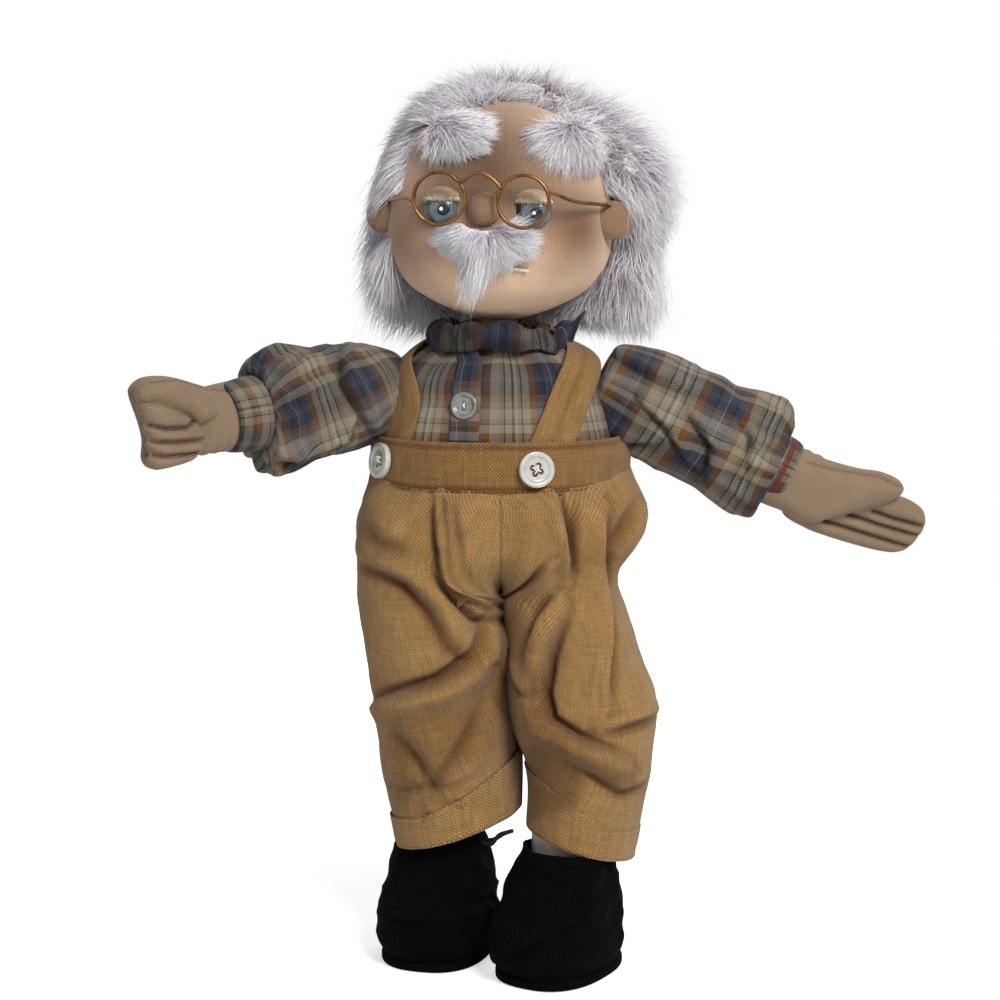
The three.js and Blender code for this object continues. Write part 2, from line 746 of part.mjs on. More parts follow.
// Fur: moustache, brows and wig are cut to the head and to the harder pieces that they lie round
const moustacheSeat = onFace(0, moustacheHeight, 0);
const moustacheBulk = ellipsoid(moustacheWidth / 2, moustacheThickness / 2, moustacheTall / 2, {
  y: moustacheSeat.y, z: moustacheHeight, around: 12,
});
const eyesRoom = [-1, 1].map((side) => {
  const eyeSeat = onFace((side * eyeSpread) / 2, eyeHeight, 0);
  const reach = 2 * gap + lidThickness;
  const at = { x: eyeSeat.x, y: eyeSeat.y, z: eyeSeat.z };
  return ellipsoid(eyeRadius + reach, eyeBulge + reach, eyeRadius + reach, at);
});
const moustache = cut(moustacheBulk, headRoom, noseAt(gap), mouthRoom, spectacleRoom, ...eyesRoom);
addPart(head, 'moustache', moustache, fur);

const furRoom = [];
for (const [name, side] of [['right', -1], ['left', 1]]) {
  const browSeat = onFace((side * browSpread) / 2 + browShift, browHeight, 0);
  const brow = (grow) => ellipsoid(browWidth / 2 + grow, browThickness / 2 + grow, browTall / 2 + grow, {
    x: browSeat.x, y: browSeat.y, z: browSeat.z, turnX: 30, turnZ: side * 30,
  });
  addPart(head, `brow_${name}`, cut(brow(0), headRoom, spectacleRoom), fur);
  const ear = (grow) => ellipsoid(earWidth / 2 + grow, earThickness / 2 + grow, earLength / 2 + grow, {
    x: (side * headWidth) / 2, turnZ: side * 14,
  });
  addPart(head, `ear_${name}`, cut(ear(0), headRoom, spectacleRoom), knit);
  furRoom.push(brow(gap), ear(gap));
}

const wigWidth = wigRight + wigLeft;
const wigMiddle = (wigLeft - wigRight) / 2;
const wigRows = [
  [wigHem, 0.78, 0.8], [wigHem * 0.5, 0.95, 0.98], [0, 1, 1], [wigTop * 0.4, 0.97, 0.98],
  [wigTop * 0.68, 0.78, 0.84], [wigTop * 0.9, 0.48, 0.56], [wigTop, 0.2, 0.24],
];
const wigShape = loft(steps(wigHem, wigTop, 8).map((level) => {
  const [wide, deep] = profileAt(wigRows, level);
  const drift = wigMiddle * (1 - smooth(level, wigTop * 0.3, wigTop));
  const halfDepth = (deep * (wigBack + hairlineTopForward)) / 2;
  const y = (wigBack - hairlineTopForward) / 2;
  return oval(18, (wide * wigWidth) / 2, halfDepth, level, { x: drift, y });
}));
const faceTilt = Math.atan2(hairlineTopForward + hairlineHemBack, wigTop - wigHem);
const faceRoom = box(-wigWidth, wigWidth, -2 * wigBack, 0, -wigWidth, 2 * wigWidth);
faceRoom.rotateX(faceTilt).translate(0, hairlineHemBack, wigHem);
const napeRoom = box(-wigWidth, wigWidth, 0, 2 * wigBack, -wigWidth, 0);
napeRoom.rotateX(Math.atan2(napeRise, wigBack)).translate(0, hairlineHemBack, wigHem);
addPart(head, 'wig', cut(wigShape, headRoom, faceRoom, napeRoom, spectacleRoom, ...furRoom), fur);

// Arms: a stuffed limb cupped over the shoulder ball, a puffed sleeve, a cuff and a hand
function limbRings(rows, count, side, rings) {
  return steps(rows[0][0], rows.at(-1)[0], rings).map((along) => {
    const [thick, wide, rise = 0] = profileAt(rows, along);
    return acrossX(oval(count, thick, wide, along, { y: rise }), side);
  });
}

const sleeveEnd = armLength - cuffOverlap;
const armRim = Math.sqrt((shoulderSweepRadius - turningEase) ** 2 - armRimAlong ** 2);
const armRows = [
  [armRimAlong, armRim, armRim],
  [armLength * 0.2, armRadius, armRadius],
  [armLength * 0.55, armRadius, armRadius],
  [armLength, wristRadius, wristRadius],
];
const sleeveRows = [
  [-sleeveHeadReach, 0.46 * sleeveRadius, 0.46 * sleeveRadius],
  [-sleeveHeadReach / 3, 0.62 * sleeveRadius, 0.62 * sleeveRadius],
  [sleeveHeadReach / 9, 0.69 * sleeveRadius, 0.73 * sleeveRadius],
  [sleeveHeadReach * 0.8, 0.88 * sleeveRadius, 0.93 * sleeveRadius],
  [sleeveEnd * 0.25, 0.92 * sleeveRadius, sleeveRadius],
  [sleeveEnd * 0.65, 0.94 * sleeveRadius, sleeveRadius],
  [sleeveEnd * 0.88, 0.84 * sleeveRadius, 0.86 * sleeveRadius],
  [sleeveEnd, sleeveEndRadius, sleeveEndRadius],
];

function sleeveRings(side, inset) {
  return steps(sleeveRows[0][0], sleeveEnd, 8).map((along) => {
    const [thick, wide] = profileAt(sleeveRows, along);
    const gather = sleeveFold * smooth(along, sleeveEnd * 0.1, sleeveEnd * 0.8);
    const swell = (angle) => gather * Math.cos(7 * angle + along / 18) - inset;
    return acrossX(oval(18, thick, wide, along, { swell }), side);
  });
}

const handStart = armLength + gap;
const cuffMouth = sleeveEnd + gap + cuffLength;
const cuffRows = [
  [sleeveEnd + gap, cuffRadius, cuffRadius],
  [cuffMouth, cuffRadius - cuffTaper, cuffRadius - cuffTaper],
];

function fist(side) {
  const wrist = [
    [handStart, wristRadius, wristRadius],
    [cuffMouth, wristRadius, wristRadius],
    [cuffMouth + wristShow, wristRadius, wristRadius],
    [handStart + 0.35 * fistLength, 0.42 * fistThickness, 0.36 * fistTall],
    [handStart + 0.5 * fistLength, 0.2 * fistThickness, 0.3 * fistTall],
  ];
  const palm = ellipsoid(0.36 * fistLength, 0.4 * fistThickness, 0.46 * fistTall, {
    x: side * (handStart + 0.6 * fistLength), y: 0.06 * fistThickness,
  });
  const fingers = steps(0, 3, 3).map((i) => {
    const z = fistTall * (0.22 - 0.2 * i);
    const reach = fistLength * (0.33 - 0.015 * i);
    const x = side * (handStart + fistLength * (0.66 - 0.015 * i));
    const at = { x, y: -0.28 * fistThickness, z, around: 9 };
    return ellipsoid(reach, 0.26 * fistThickness, 0.125 * fistTall, at);
  });
  const thumb = ellipsoid(0.36 * fistLength, 0.24 * fistThickness, 0.14 * fistTall, {
    x: side * (handStart + 0.62 * fistLength),
    y: -0.1 * fistThickness,
    z: 0.42 * fistTall,
    turnY: side * -8,
    around: 10,
  });
  return join(loft(limbRings(wrist, 12, side, 3)), palm, ...fingers, thumb);
}

function mitt(side) {
  const palm = [
    [handStart, wristRadius, wristRadius, 0],
    [cuffMouth, wristRadius, wristRadius, 0],
    [cuffMouth + wristShow, wristRadius, wristRadius, 0],
    [handStart + 0.42 * mittLength, 0.5 * mittThickness, 0.46 * mittWidth, -0.06 * mittWidth],
    [handStart + 0.66 * mittLength, 0.36 * mittThickness, 0.4 * mittWidth, -0.1 * mittWidth],
  ];
  const fingers = steps(0, 3, 3).map((i) => {
    const z = mittWidth * (0.12 - 0.165 * i);
    const reach = mittLength * (0.32 - 0.02 * Math.abs(i - 1));
    const x = side * (handStart + mittLength * 0.99 - reach);
    const at = { x, z, turnY: side * (2 + 2 * i), around: 9 };
    return ellipsoid(reach, 0.3 * mittThickness, 0.115 * mittWidth, at);
  });
  const thumb = ellipsoid(0.33 * mittLength, 0.36 * mittThickness, 0.2 * mittWidth, {
    x: side * (handStart + 0.58 * mittLength),
    y: -0.34 * mittThickness,
    z: 0.26 * mittWidth,
    turnY: side * 4,
    around: 12,
  });
  return join(loft(limbRings(palm, 14, side, 5)), ...fingers, thumb);
}

const hands = { right: fist(-1), left: mitt(1) };
const strapRoutes = { right: rightRoute, left: leftRoute };
const bandBlock = loft(bandHeights.map((height) => torsoRing(height, bandOut + gap)));
const buttonBlock = ball(bandButtonDiameter / 2 + 2 * gap, torsoAt(rightButtonTurn, bandMiddle, bandOut));
for (const [name, side] of [['right', -1], ['left', 1]]) {
  const arm = arms[name];
  const cup = ball(shoulderBallRadius + turningEase, {});
  addPart(arm, `arm_${name}`, cut(loft(limbRings(armRows, 16, side, 5)), cup), whiteCloth);
  const sleeveShape = clothTube(sleeveRings(side, 0), sleeveRings(side, shirtThickness));
  const [roomWidth, roomThickness] = [strapWidth + 2 * gap, strapThickness + 2 * gap];
  const strapRoom = tape(strapRoutes[name], roomWidth, roomThickness, () => onShirt - gap, strapSteps);
  const neighbours = [clothedTorso, bandBlock, buttonBlock, strapRoom];
  const rooms = neighbours.map((geometry) => carried(geometry, torso, arm));
  addPart(arm, `sleeve_${name}`, mainPiece(cut(sleeveShape, ...rooms)), plaid);
  const cuffInner = cuffRows.map(([along, thick, wide]) => {
    return [along, thick - shirtThickness, wide - shirtThickness];
  });
  const cuff = clothTube(limbRings(cuffRows, 18, side, 1), limbRings(cuffInner, 18, side, 1));
  addPart(arm, `cuff_${name}`, cuff, plaid);
  addPart(arm, `hand_${name}`, hands[name], knit);
}

// Legs: stuffed limb, trouser leg with its turn-up, shoe, sole and lace. Heights are from the hip axis.
const crotchTop = seatFloor + torso.position.z - hipHeight - gap;

// One outline of a trouser leg: half of the seat at the top, a round hem at the bottom.
// Share runs from 0 at the seat to 1 at the hem.
function trouserRing(leg, share, standOff, folds = legFold) {
  const { side, kneeReach, hemReach, hemDepth, hemY, outerHem, innerHem } = leg;
  const rows = [
    [0, seatWidth / 2, seatDepth / 2, 0], [0.45, kneeReach, mix(seatDepth, hemDepth, 0.5) / 2, hemY / 2],
    [1, hemReach, hemDepth / 2, hemY],
  ];
  const [reach, halfDepth, middleY] = profileAt(rows, share);
  const inner = inseamDrift * share + side * (inseamGap / 2 + share * (hemThickness + hemEase + gap));
  const round = smooth(share, 0, 0.4);
  const count = 24;
  const outline = Array.from({ length: count }, (_, i) => {
    const angle = -Math.PI + (2 * Math.PI * i) / count;
    const turn = Math.abs(angle) / Math.PI;
    const arc = Math.min(turn * 0.75, 0.5) * Math.PI;
    const flatSide = Math.min((1 - turn) * 3, 1);
    const flatOut = Math.cos(arc);
    const flatAlong = Math.sign(angle) * Math.sin(arc) * flatSide;
    const out = mix(flatOut, (1 + Math.cos(angle)) / 2, round);
    const along = mix(flatAlong, Math.sin(angle), round);
    const fold = folds * smooth(share, 0, 0.25) * (1 - 0.7 * share) *
      (Math.cos(6 * angle + 5 * share) + 0.6 * Math.cos(4 * angle - 11 * share));
    const x = mix(inner, side * reach, out);
    const spread = new THREE.Vector2(Math.cos(angle), Math.sin(angle)).multiplyScalar(fold * round);
    const hem = mix(innerHem, outerHem, out) - hipHeight;
    const y = middleY + halfDepth * along + spread.y;
    return { x: x + side * spread.x, y, z: mix(crotchTop, hem, share) };
  });
  // Step square to the outline, so that layers of cloth keep their distance
  return outline.map((p, i) => {
    const [before, after] = [outline[(i + count - 1) % count], outline[(i + 1) % count]];
    const step = new THREE.Vector2(after.y - before.y, before.x - after.x).setLength(standOff);
    return new THREE.Vector3(p.x + side * step.x, p.y + side * step.y, p.z);
  });
}

// The middle and radius of a stuffed leg at a height
const ankleDrop = footHeight - hipHeight;

function ankleAt({ legX, shoeX, shoeY }, z) {
  const share = THREE.MathUtils.clamp(z / ankleDrop, 0, 1);
  const middle = { x: mix(legX, (legX + shoeX) / 2, share), y: mix(0, shoeY + ankleSetback, share) };
  return [middle, mix(legRadius, ankleRadius, share)];
}

function legShape(leg, grow) {
  const crown = steps(78, 0, 4).map((angle) => {
    const radius = (legRadius + grow) * Math.cos(radians(angle));
    return oval(16, radius, radius, (legRadius + grow) * Math.sin(radians(angle)), { x: leg.legX });
  });
  const shaft = [0.3, 0.6, 0.8, 1].map((share) => {
    const [middle, radius] = ankleAt(leg, ankleDrop * share);
    const z = ankleDrop * share - (share === 1 ? grow : 0);
    return oval(16, radius + grow, radius + grow, z, middle);
  });
  return loft([...crown, ...shaft]);
}

const floor = -hipHeight;
const shoeFoot = floor + soleThickness + gap;
const shoeTop = shoeFoot + shoeTall;
const shoePower = 2.6;
const laceLevel = shoeTop + gap + laceRadius;

function shoeRing(leg, height) {
  const rows = [
    [0, 0.47, 0.47, 0.46], [0.2 * shoeTall, 0.5, 0.5, 0.5], [0.5 * shoeTall, 0.48, 0.48, 0.5],
    [0.75 * shoeTall, 0.34, 0.46, 0.47], [shoeTall, 0.2, 0.42, 0.43],
  ];
  const [front, back, half] = profileAt(rows, height);
  const y = leg.shoeY + (shoeLength * (back - front)) / 2;
  const halfLength = (shoeLength * (front + back)) / 2;
  return oval(20, half * shoeWidth, halfLength, shoeFoot + height, { x: leg.shoeX, y, power: shoePower });
}

for (const [name, leg] of Object.entries(legSides)) {
  const group = legs[name];
  const hemShare = hemTall / (hipHeight + crotchTop - (leg.outerHem + leg.innerHem) / 2);
  addPart(group, `leg_${name}`, legShape(leg, 0), whiteCloth);
  const shares = steps(0, 1, 9);
  const trouserLeg = clothTube(
    shares.map((share) => trouserRing(leg, share, 0)),
    shares.map((share) => trouserRing(leg, share, -trouserThickness)),
  );
  addPart(group, `trouser_leg_${name}`, trouserLeg, linen);
  const hemShares = steps(1 - hemShare, 1, 2);
  const hem = clothTube(
    hemShares.map((share) => trouserRing(leg, share, hemEase + hemThickness)),
    hemShares.map((share) => trouserRing(leg, share, hemEase)),
  );
  addPart(group, `trouser_hem_${name}`, hem, linen);
  const upper = loft(steps(0, shoeTall, 6).map((height) => shoeRing(leg, height)));
  addPart(group, `shoe_upper_${name}`, cut(upper, legShape(leg, gap)), blackCloth);
  const soleOutline = (z) => oval(20, shoeWidth / 2 + soleMargin, shoeLength / 2 + soleMargin, z, {
    x: leg.shoeX, y: leg.shoeY, power: shoePower,
  });
  const sole = loft([soleOutline(floor), soleOutline(floor + soleThickness)]);
  addPart(group, `shoe_sole_${name}`, sole, blackCloth);
  const [ankle, radius] = ankleAt(leg, laceLevel);
  const lace = new THREE.TorusGeometry(radius + gap + laceRadius, laceRadius, 5, 18);
  addPart(group, `shoe_lace_${name}`, lace.translate(ankle.x, ankle.y, laceLevel), blackThread);
}

// The free end of the right lace leaves its ring and stands up between the ankles
const laceTurn = -30;
const [laceMiddle, laceInner] = ankleAt(legSides.right, laceLevel);
const laceReach = laceInner + 2 * gap + 3 * laceRadius;
const laceStart = new THREE.Vector3(
  laceMiddle.x + laceReach * Math.cos(radians(laceTurn)),
  laceMiddle.y + laceReach * Math.sin(radians(laceTurn)),
  laceLevel,
);
const laceEnd = [[0, 0, 0], [4, -4, 0.9], [8.5, -9, 3.8], [12.5, -13, 8.4]].map((away) => {
  return new THREE.Vector3(...away).add(laceStart);
});
addPart(legs.right, 'shoe_lace_end', wire(laceEnd, laceRadius, 7, 5), blackThread);

// Centre the footprint on the origin, with the soles on the ground
const bounds = new THREE.Box3().setFromObject(doll, true);
const middle = bounds.getCenter(new THREE.Vector3());
doll.position.set(-middle.x, -middle.y, -bounds.min.z);

export default doll;
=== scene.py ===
# A stuffed cloth doll of an old man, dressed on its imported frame.
# Metres, +Z up. The doll looks along -Y, so its right side is at -X.
import json
import math

import bpy
import numpy as np
from mathutils import Matrix, Vector, noise


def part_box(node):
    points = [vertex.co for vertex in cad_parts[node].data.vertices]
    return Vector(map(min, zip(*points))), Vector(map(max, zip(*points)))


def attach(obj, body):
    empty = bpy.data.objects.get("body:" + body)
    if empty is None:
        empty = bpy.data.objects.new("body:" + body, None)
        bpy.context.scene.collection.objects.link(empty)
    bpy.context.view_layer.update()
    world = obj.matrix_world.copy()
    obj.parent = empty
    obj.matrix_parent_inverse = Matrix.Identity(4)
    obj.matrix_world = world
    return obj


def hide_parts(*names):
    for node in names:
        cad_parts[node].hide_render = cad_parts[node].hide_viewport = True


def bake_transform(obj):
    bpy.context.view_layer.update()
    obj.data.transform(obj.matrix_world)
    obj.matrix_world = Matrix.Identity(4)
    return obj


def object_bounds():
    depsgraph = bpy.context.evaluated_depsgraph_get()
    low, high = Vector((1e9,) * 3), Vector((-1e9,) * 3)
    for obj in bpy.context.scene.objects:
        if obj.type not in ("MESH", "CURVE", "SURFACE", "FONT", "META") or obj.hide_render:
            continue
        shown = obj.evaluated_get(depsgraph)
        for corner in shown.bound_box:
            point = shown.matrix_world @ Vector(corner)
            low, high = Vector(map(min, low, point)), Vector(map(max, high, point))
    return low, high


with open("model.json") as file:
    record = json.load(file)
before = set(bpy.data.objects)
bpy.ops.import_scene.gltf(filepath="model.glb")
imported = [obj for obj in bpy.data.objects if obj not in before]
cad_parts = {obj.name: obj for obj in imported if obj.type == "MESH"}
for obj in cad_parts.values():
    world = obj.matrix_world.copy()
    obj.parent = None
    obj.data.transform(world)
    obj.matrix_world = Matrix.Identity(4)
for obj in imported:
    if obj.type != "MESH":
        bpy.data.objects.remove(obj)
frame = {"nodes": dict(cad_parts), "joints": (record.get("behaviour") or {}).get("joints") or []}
bpy.ops.object.select_all(action="DESELECT")
cad_low, cad_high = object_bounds()

# Studio: a white sweep under soft daylight from the upper right.
# The camera stands a metre off and looks a little down on the doll.
mm = 0.001
joint_at = {joint["name"]: Vector(joint["pos_m"]) for joint in frame["joints"]}
axis_foot = Vector((joint_at["neck_nod"].x, joint_at["neck_nod"].y, 0))
camera_aim = axis_foot + Vector((0, 0, 200 * mm))
camera_distance = 1000 * mm
camera_tilt = math.radians(8)
half_view = 0.215
photo_width = 1000
camera_back = Vector((0, -math.cos(camera_tilt), math.sin(camera_tilt)))
camera_place = camera_aim + camera_distance * camera_back
bpy.ops.object.camera_add(location=camera_place, rotation=(math.pi / 2 - camera_tilt, 0, 0))
camera = bpy.context.object
camera.data.sensor_width = 36
camera.data.lens = camera.data.sensor_width / 2 / half_view
scene = bpy.context.scene
scene.camera = camera
scene.view_settings.view_transform = "Standard"


def columns(*values):
    """Values side by side, one row for each point."""
    return np.column_stack(values)


def photo_pixels(points):
    """Where points of the frame show in the photograph, as columns of x and y pixels."""
    away = np.asarray(points) - np.array(camera_place)
    depth = -away @ np.array(camera_back)
    up = np.array((0, math.sin(camera_tilt), math.cos(camera_tilt)))
    scale = photo_width / 2 / half_view / depth
    return columns(photo_width / 2 + away[:, 0] * scale, photo_width / 2 - away @ up * scale)


def soft_lamp(name, place, width, power, colour):
    """A square lamp at a place given from the camera's aim, turned to shine on it."""
    bpy.ops.object.light_add(type="AREA", location=camera_aim + Vector(place))
    lamp = bpy.context.object
    lamp.name = name
    lamp.data.size = width
    lamp.data.energy = power
    lamp.data.color = colour
    lamp.rotation_euler = (-Vector(place)).to_track_quat("-Z", "Y").to_euler()


soft_lamp("key_lamp", (0.5, -1.0, 0.75), width=0.45, power=19, colour=(1, 0.98, 0.95))
soft_lamp("fill_lamp", (-1.1, -1.0, 0.5), width=1.0, power=2.8, colour=(1, 0.96, 0.92))
soft_lamp("back_lamp", (0.4, 1.1, 0.9), width=0.8, power=7, colour=(0.93, 0.95, 1))


def add(tree, kind, sockets=(), **settings):
    """A shader node with its settings, its sockets set or linked. Gives its outputs."""
    made = tree.nodes.new("ShaderNode" + kind)
    for name, value in settings.items():
        setattr(made, name, value)
    for name, value in dict(sockets).items():
        if isinstance(value, bpy.types.NodeSocket):
            tree.links.new(value, made.inputs[name])
        else:
            made.inputs[name].default_value = value
    return made.outputs


def maths(tree, operation, first, second=0.0):
    return add(tree, "Math", {0: first, 1: second}, operation=operation)[0]


def new_material(name, **sockets):
    """A material whose plain values are set on its shader. Gives it, its tree and its shader."""
    made = bpy.data.materials.new(name)
    made.use_nodes = True
    shader = made.node_tree.nodes["Principled BSDF"]
    for label, value in sockets.items():
        shader.inputs[label.replace("_", " ")].default_value = value
    return made, made.node_tree, shader


world = bpy.data.worlds.new("daylight")
world.use_nodes = True
scene.world = world
sky = world.node_tree
daylight_tone, daylight_strength = (0.86, 0.88, 1, 1), 0.27
daylight = sky.nodes["Background"]
daylight.inputs["Color"].default_value = daylight_tone
daylight.inputs["Strength"].default_value = daylight_strength
seen = add(sky, "LightPath")
straight = maths(sky, "MAXIMUM", seen["Is Camera Ray"], seen["Is Glossy Ray"])
straight = maths(sky, "MAXIMUM", straight, seen["Is Transmission Ray"])
white_sky = add(sky, "Background", {"Color": (1, 1, 1, 1), "Strength": 1})
sky_mix = add(sky, "MixShader", {0: straight, 1: daylight.outputs[0], 2: white_sky[0]})
sky.links.new(sky_mix[0], sky.nodes["World Output"].inputs["Surface"])

floor_drop = 0.3 * mm
floor_place = axis_foot - Vector((0, 0, floor_drop))
bpy.ops.mesh.primitive_circle_add(vertices=96, radius=1, fill_type="NGON", location=floor_place)
floor = bpy.context.object
floor.name = "floor"
white_paper, paper, paper_shader = new_material(
    "white_paper", Base_Color=(0.9, 0.9, 0.9, 1), Roughness=1, Emission_Color=(1, 1, 1, 1),
)
from_doll = add(paper, "VectorMath", {0: add(paper, "TexCoord")["Object"]}, operation="LENGTH")["Value"]
paper_reach = add(
    paper, "MapRange", {"Value": from_doll, "From Min": 0.1, "From Max": 0.7, "To Min": 0.55, "To Max": 1},
)
paper_glow = maths(paper, "MULTIPLY", add(paper, "LightPath")["Is Camera Ray"], paper_reach[0])
paper.links.new(paper_glow, paper_shader.inputs["Emission Strength"])
floor.data.materials.append(white_paper)


# Inner bags: the torso, shoulders, arms and legs are bags of white cotton, sewn and stuffed.
# The clothes hide them, apart from the ankles.
def tint(code):
    """A colour written as red, green and blue bytes, made linear."""
    channels = [int(code[i : i + 2], 16) / 255 for i in (0, 2, 4)]
    linear = [c / 12.92 if c <= 0.04045 else ((c + 0.055) / 1.055) ** 2.4 for c in channels]
    return (*linear, 1)


def new_group(name, inputs, outputs):
    """An empty shader node group. Gives its tree, its inputs and its outputs."""
    tree = bpy.data.node_groups.new(name, "ShaderNodeTree")
    for label, kind in inputs:
        tree.interface.new_socket(label, in_out="INPUT", socket_type="NodeSocket" + kind)
    for label, kind in outputs:
        tree.interface.new_socket(label, in_out="OUTPUT", socket_type="NodeSocket" + kind)
    return tree, tree.nodes.new("NodeGroupInput").outputs, tree.nodes.new("NodeGroupOutput").inputs


# Threads that pass over and under each other, one pitch apart, with slubs along them
plain_weave, into, out = new_group(
    "plain_weave",
    [("Vector", "Vector"), ("Pitch", "Float")],
    [("Height", "Float"), ("Over", "Float"), ("Slub", "Float")],
)
tree = plain_weave
half_turn = maths(tree, "DIVIDE", math.pi, into["Pitch"])
per_pitch = maths(tree, "DIVIDE", 1.0, into["Pitch"])
scaled = add(tree, "VectorMath", {0: into["Vector"], "Scale": per_pitch}, operation="SCALE")[0]
unevenness = add(tree, "TexNoise", {"Vector": scaled, "Scale": 0.3, "Detail": 2})["Color"]
sideslip = add(tree, "VectorMath", {0: unevenness, "Scale": into["Pitch"]}, operation="SCALE")[0]
slipped = add(tree, "VectorMath", {0: into["Vector"], 1: sideslip}, operation="ADD")[0]
flat_place = add(tree, "SeparateXYZ", {0: slipped})
warp = maths(tree, "SINE", maths(tree, "MULTIPLY", flat_place["X"], half_turn))
weft = maths(tree, "SINE", maths(tree, "MULTIPLY", flat_place["Y"], half_turn))
crossing = maths(tree, "MULTIPLY", warp, weft)
over = maths(tree, "GREATER_THAN", crossing, 0.0)
height = maths(tree, "POWER", maths(tree, "ABSOLUTE", crossing), 0.45)
slubs = []
for stretch in ((0.05, 0.5, 0), (0.5, 0.05, 0)):
    along = add(tree, "VectorMath", {0: scaled, 1: stretch}, operation="MULTIPLY")[0]
    slubs.append(add(tree, "TexNoise", {"Vector": along, "Scale": 1, "Detail": 2})["Fac"])
slub = add(tree, "Mix", {0: over, 2: slubs[0], 3: slubs[1]})[0]
tree.links.new(height, out["Height"])
tree.links.new(over, out["Over"])
tree.links.new(slub, out["Slub"])


# Uneven patches of a tone over a piece
patches, into, out = new_group(
    "patches",
    [("Vector", "Vector"), ("Scale", "Float"), ("Roughness", "Float")],
    [("Fac", "Float")],
)
patch_noise = add(
    patches, "TexNoise",
    {"Vector": into["Vector"], "Scale": into["Scale"], "Detail": 4, "Roughness": into["Roughness"]},
)
patches.links.new(patch_noise["Fac"], out["Fac"])


def stain(tree, size, roughness=0.6):
    """Slow changes of tone, this far apart, over a piece."""
    laid = {"Vector": add(tree, "TexCoord")["Object"], "Scale": 1 / size, "Roughness": roughness}
    return add(tree, "Group", laid, node_tree=patches)["Fac"]


def ramp(tree, factor, *stops, sharp=False):
    """Colours along a factor, each stop a position and a colour or its code."""
    made = tree.nodes.new("ShaderNodeValToRGB")
    made.color_ramp.interpolation = "CONSTANT" if sharp else "LINEAR"
    for _ in stops[2:]:
        made.color_ramp.elements.new(0.5)
    for element, (position, colour) in zip(made.color_ramp.elements, stops):
        element.position = position
        element.color = tint(colour) if isinstance(colour, str) else colour
    tree.links.new(factor, made.inputs[0])
    return made.outputs[0]


def blend_colours(tree, factor, first, second, mode="MIX"):
    return add(tree, "Mix", {0: factor, 6: first, 7: second}, data_type="RGBA", blend_type=mode)[2]


def bump(tree, shader, height, depth):
    """Raises the surface by up to this depth, in metres, where the height is 1."""
    raised = add(tree, "Bump", {"Strength": 1, "Distance": depth, "Height": height})[0]
    tree.links.new(raised, shader.inputs["Normal"])


def paint(tree, shader, tone):
    tree.links.new(tone, shader.inputs["Base Color"])


def cloth_place(tree):
    """The place on a piece's own cloth map, in metres."""
    return add(tree, "UVMap", uv_map="cloth")[0]


def woven(tree, pitch):
    """The plain weave of a piece, on its own map."""
    return add(tree, "Group", {"Vector": cloth_place(tree), "Pitch": pitch}, node_tree=plain_weave)


cotton, tree, shader = new_material("white_cotton", Roughness=0.95, Sheen_Weight=0.15)
weave = woven(tree, 0.5 * mm)
cotton_tone = ramp(tree, stain(tree, 18 * mm), (0.3, "b0a89e"), (0.75, "ccc6be"))
cotton_slubs = ramp(tree, weave["Slub"], (0.3, "a09890"), (0.7, "d8d3cc"))
paint(tree, shader, blend_colours(tree, 0.35, cotton_tone, cotton_slubs))
bump(tree, shader, weave["Height"], depth=0.12 * mm)


def active(piece):
    """Makes a piece the only one selected, for the operators that follow."""
    bpy.ops.object.select_all(action="DESELECT")
    piece.select_set(True)
    bpy.context.view_layer.objects.active = piece


def apply_modifier(piece, kind, **settings):
    active(piece)
    made = piece.modifiers.new(kind.lower(), kind)
    for name, value in settings.items():
        setattr(made, name, value)
    bpy.ops.object.modifier_apply(modifier=made.name)


def points_of(piece):
    found = np.zeros(3 * len(piece.data.vertices), np.float32)
    piece.data.vertices.foreach_get("co", found)
    return found.reshape(-1, 3).astype(float)


def normals_of(piece):
    found = np.zeros(3 * len(piece.data.vertices), np.float32)
    piece.data.vertex_normals.foreach_get("vector", found)
    return found.reshape(-1, 3).astype(float)


def move_points(piece, places):
    piece.data.vertices.foreach_set("co", np.asarray(places, np.float32).ravel())
    piece.data.update()


def map_cloth(piece, flat):
    """Gives a piece its cloth map in metres, from one flat place for each vertex."""
    chart = piece.data.uv_layers.get("cloth") or piece.data.uv_layers.new(name="cloth")
    corners = np.zeros(len(piece.data.loops), np.int32)
    piece.data.loops.foreach_get("vertex_index", corners)
    chart.data.foreach_set("uv", np.asarray(flat, np.float32)[corners].ravel())


def dress(piece, body, finish, slot, *nodes):
    """Finishes a piece: smooth, in its cloth, on its body, in the place of its solids."""
    piece.data.materials.clear()
    piece.data.materials.append(finish)
    active(piece)
    bpy.ops.object.shade_smooth()
    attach(piece, body)
    if nodes:
        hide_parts(*nodes)


def stuffed_bag(name, node, voxel):
    """A bag with the solid's form, its edges rounded by the stuffing."""
    bag = bpy.data.objects.new(name, frame["nodes"][node].data.copy())
    scene.collection.objects.link(bag)
    active(bag)
    bpy.ops.object.mode_set(mode="EDIT")
    bpy.ops.mesh.select_all(action="SELECT")
    bpy.ops.mesh.remove_doubles(threshold=0.01 * mm)
    bpy.ops.object.mode_set(mode="OBJECT")
    apply_modifier(bag, "REMESH", mode="VOXEL", voxel_size=voxel)
    apply_modifier(bag, "SMOOTH", factor=0.5, iterations=6)
    places = points_of(bag)
    map_cloth(bag, columns(places[:, 0] + places[:, 1], places[:, 2]))
    return bag


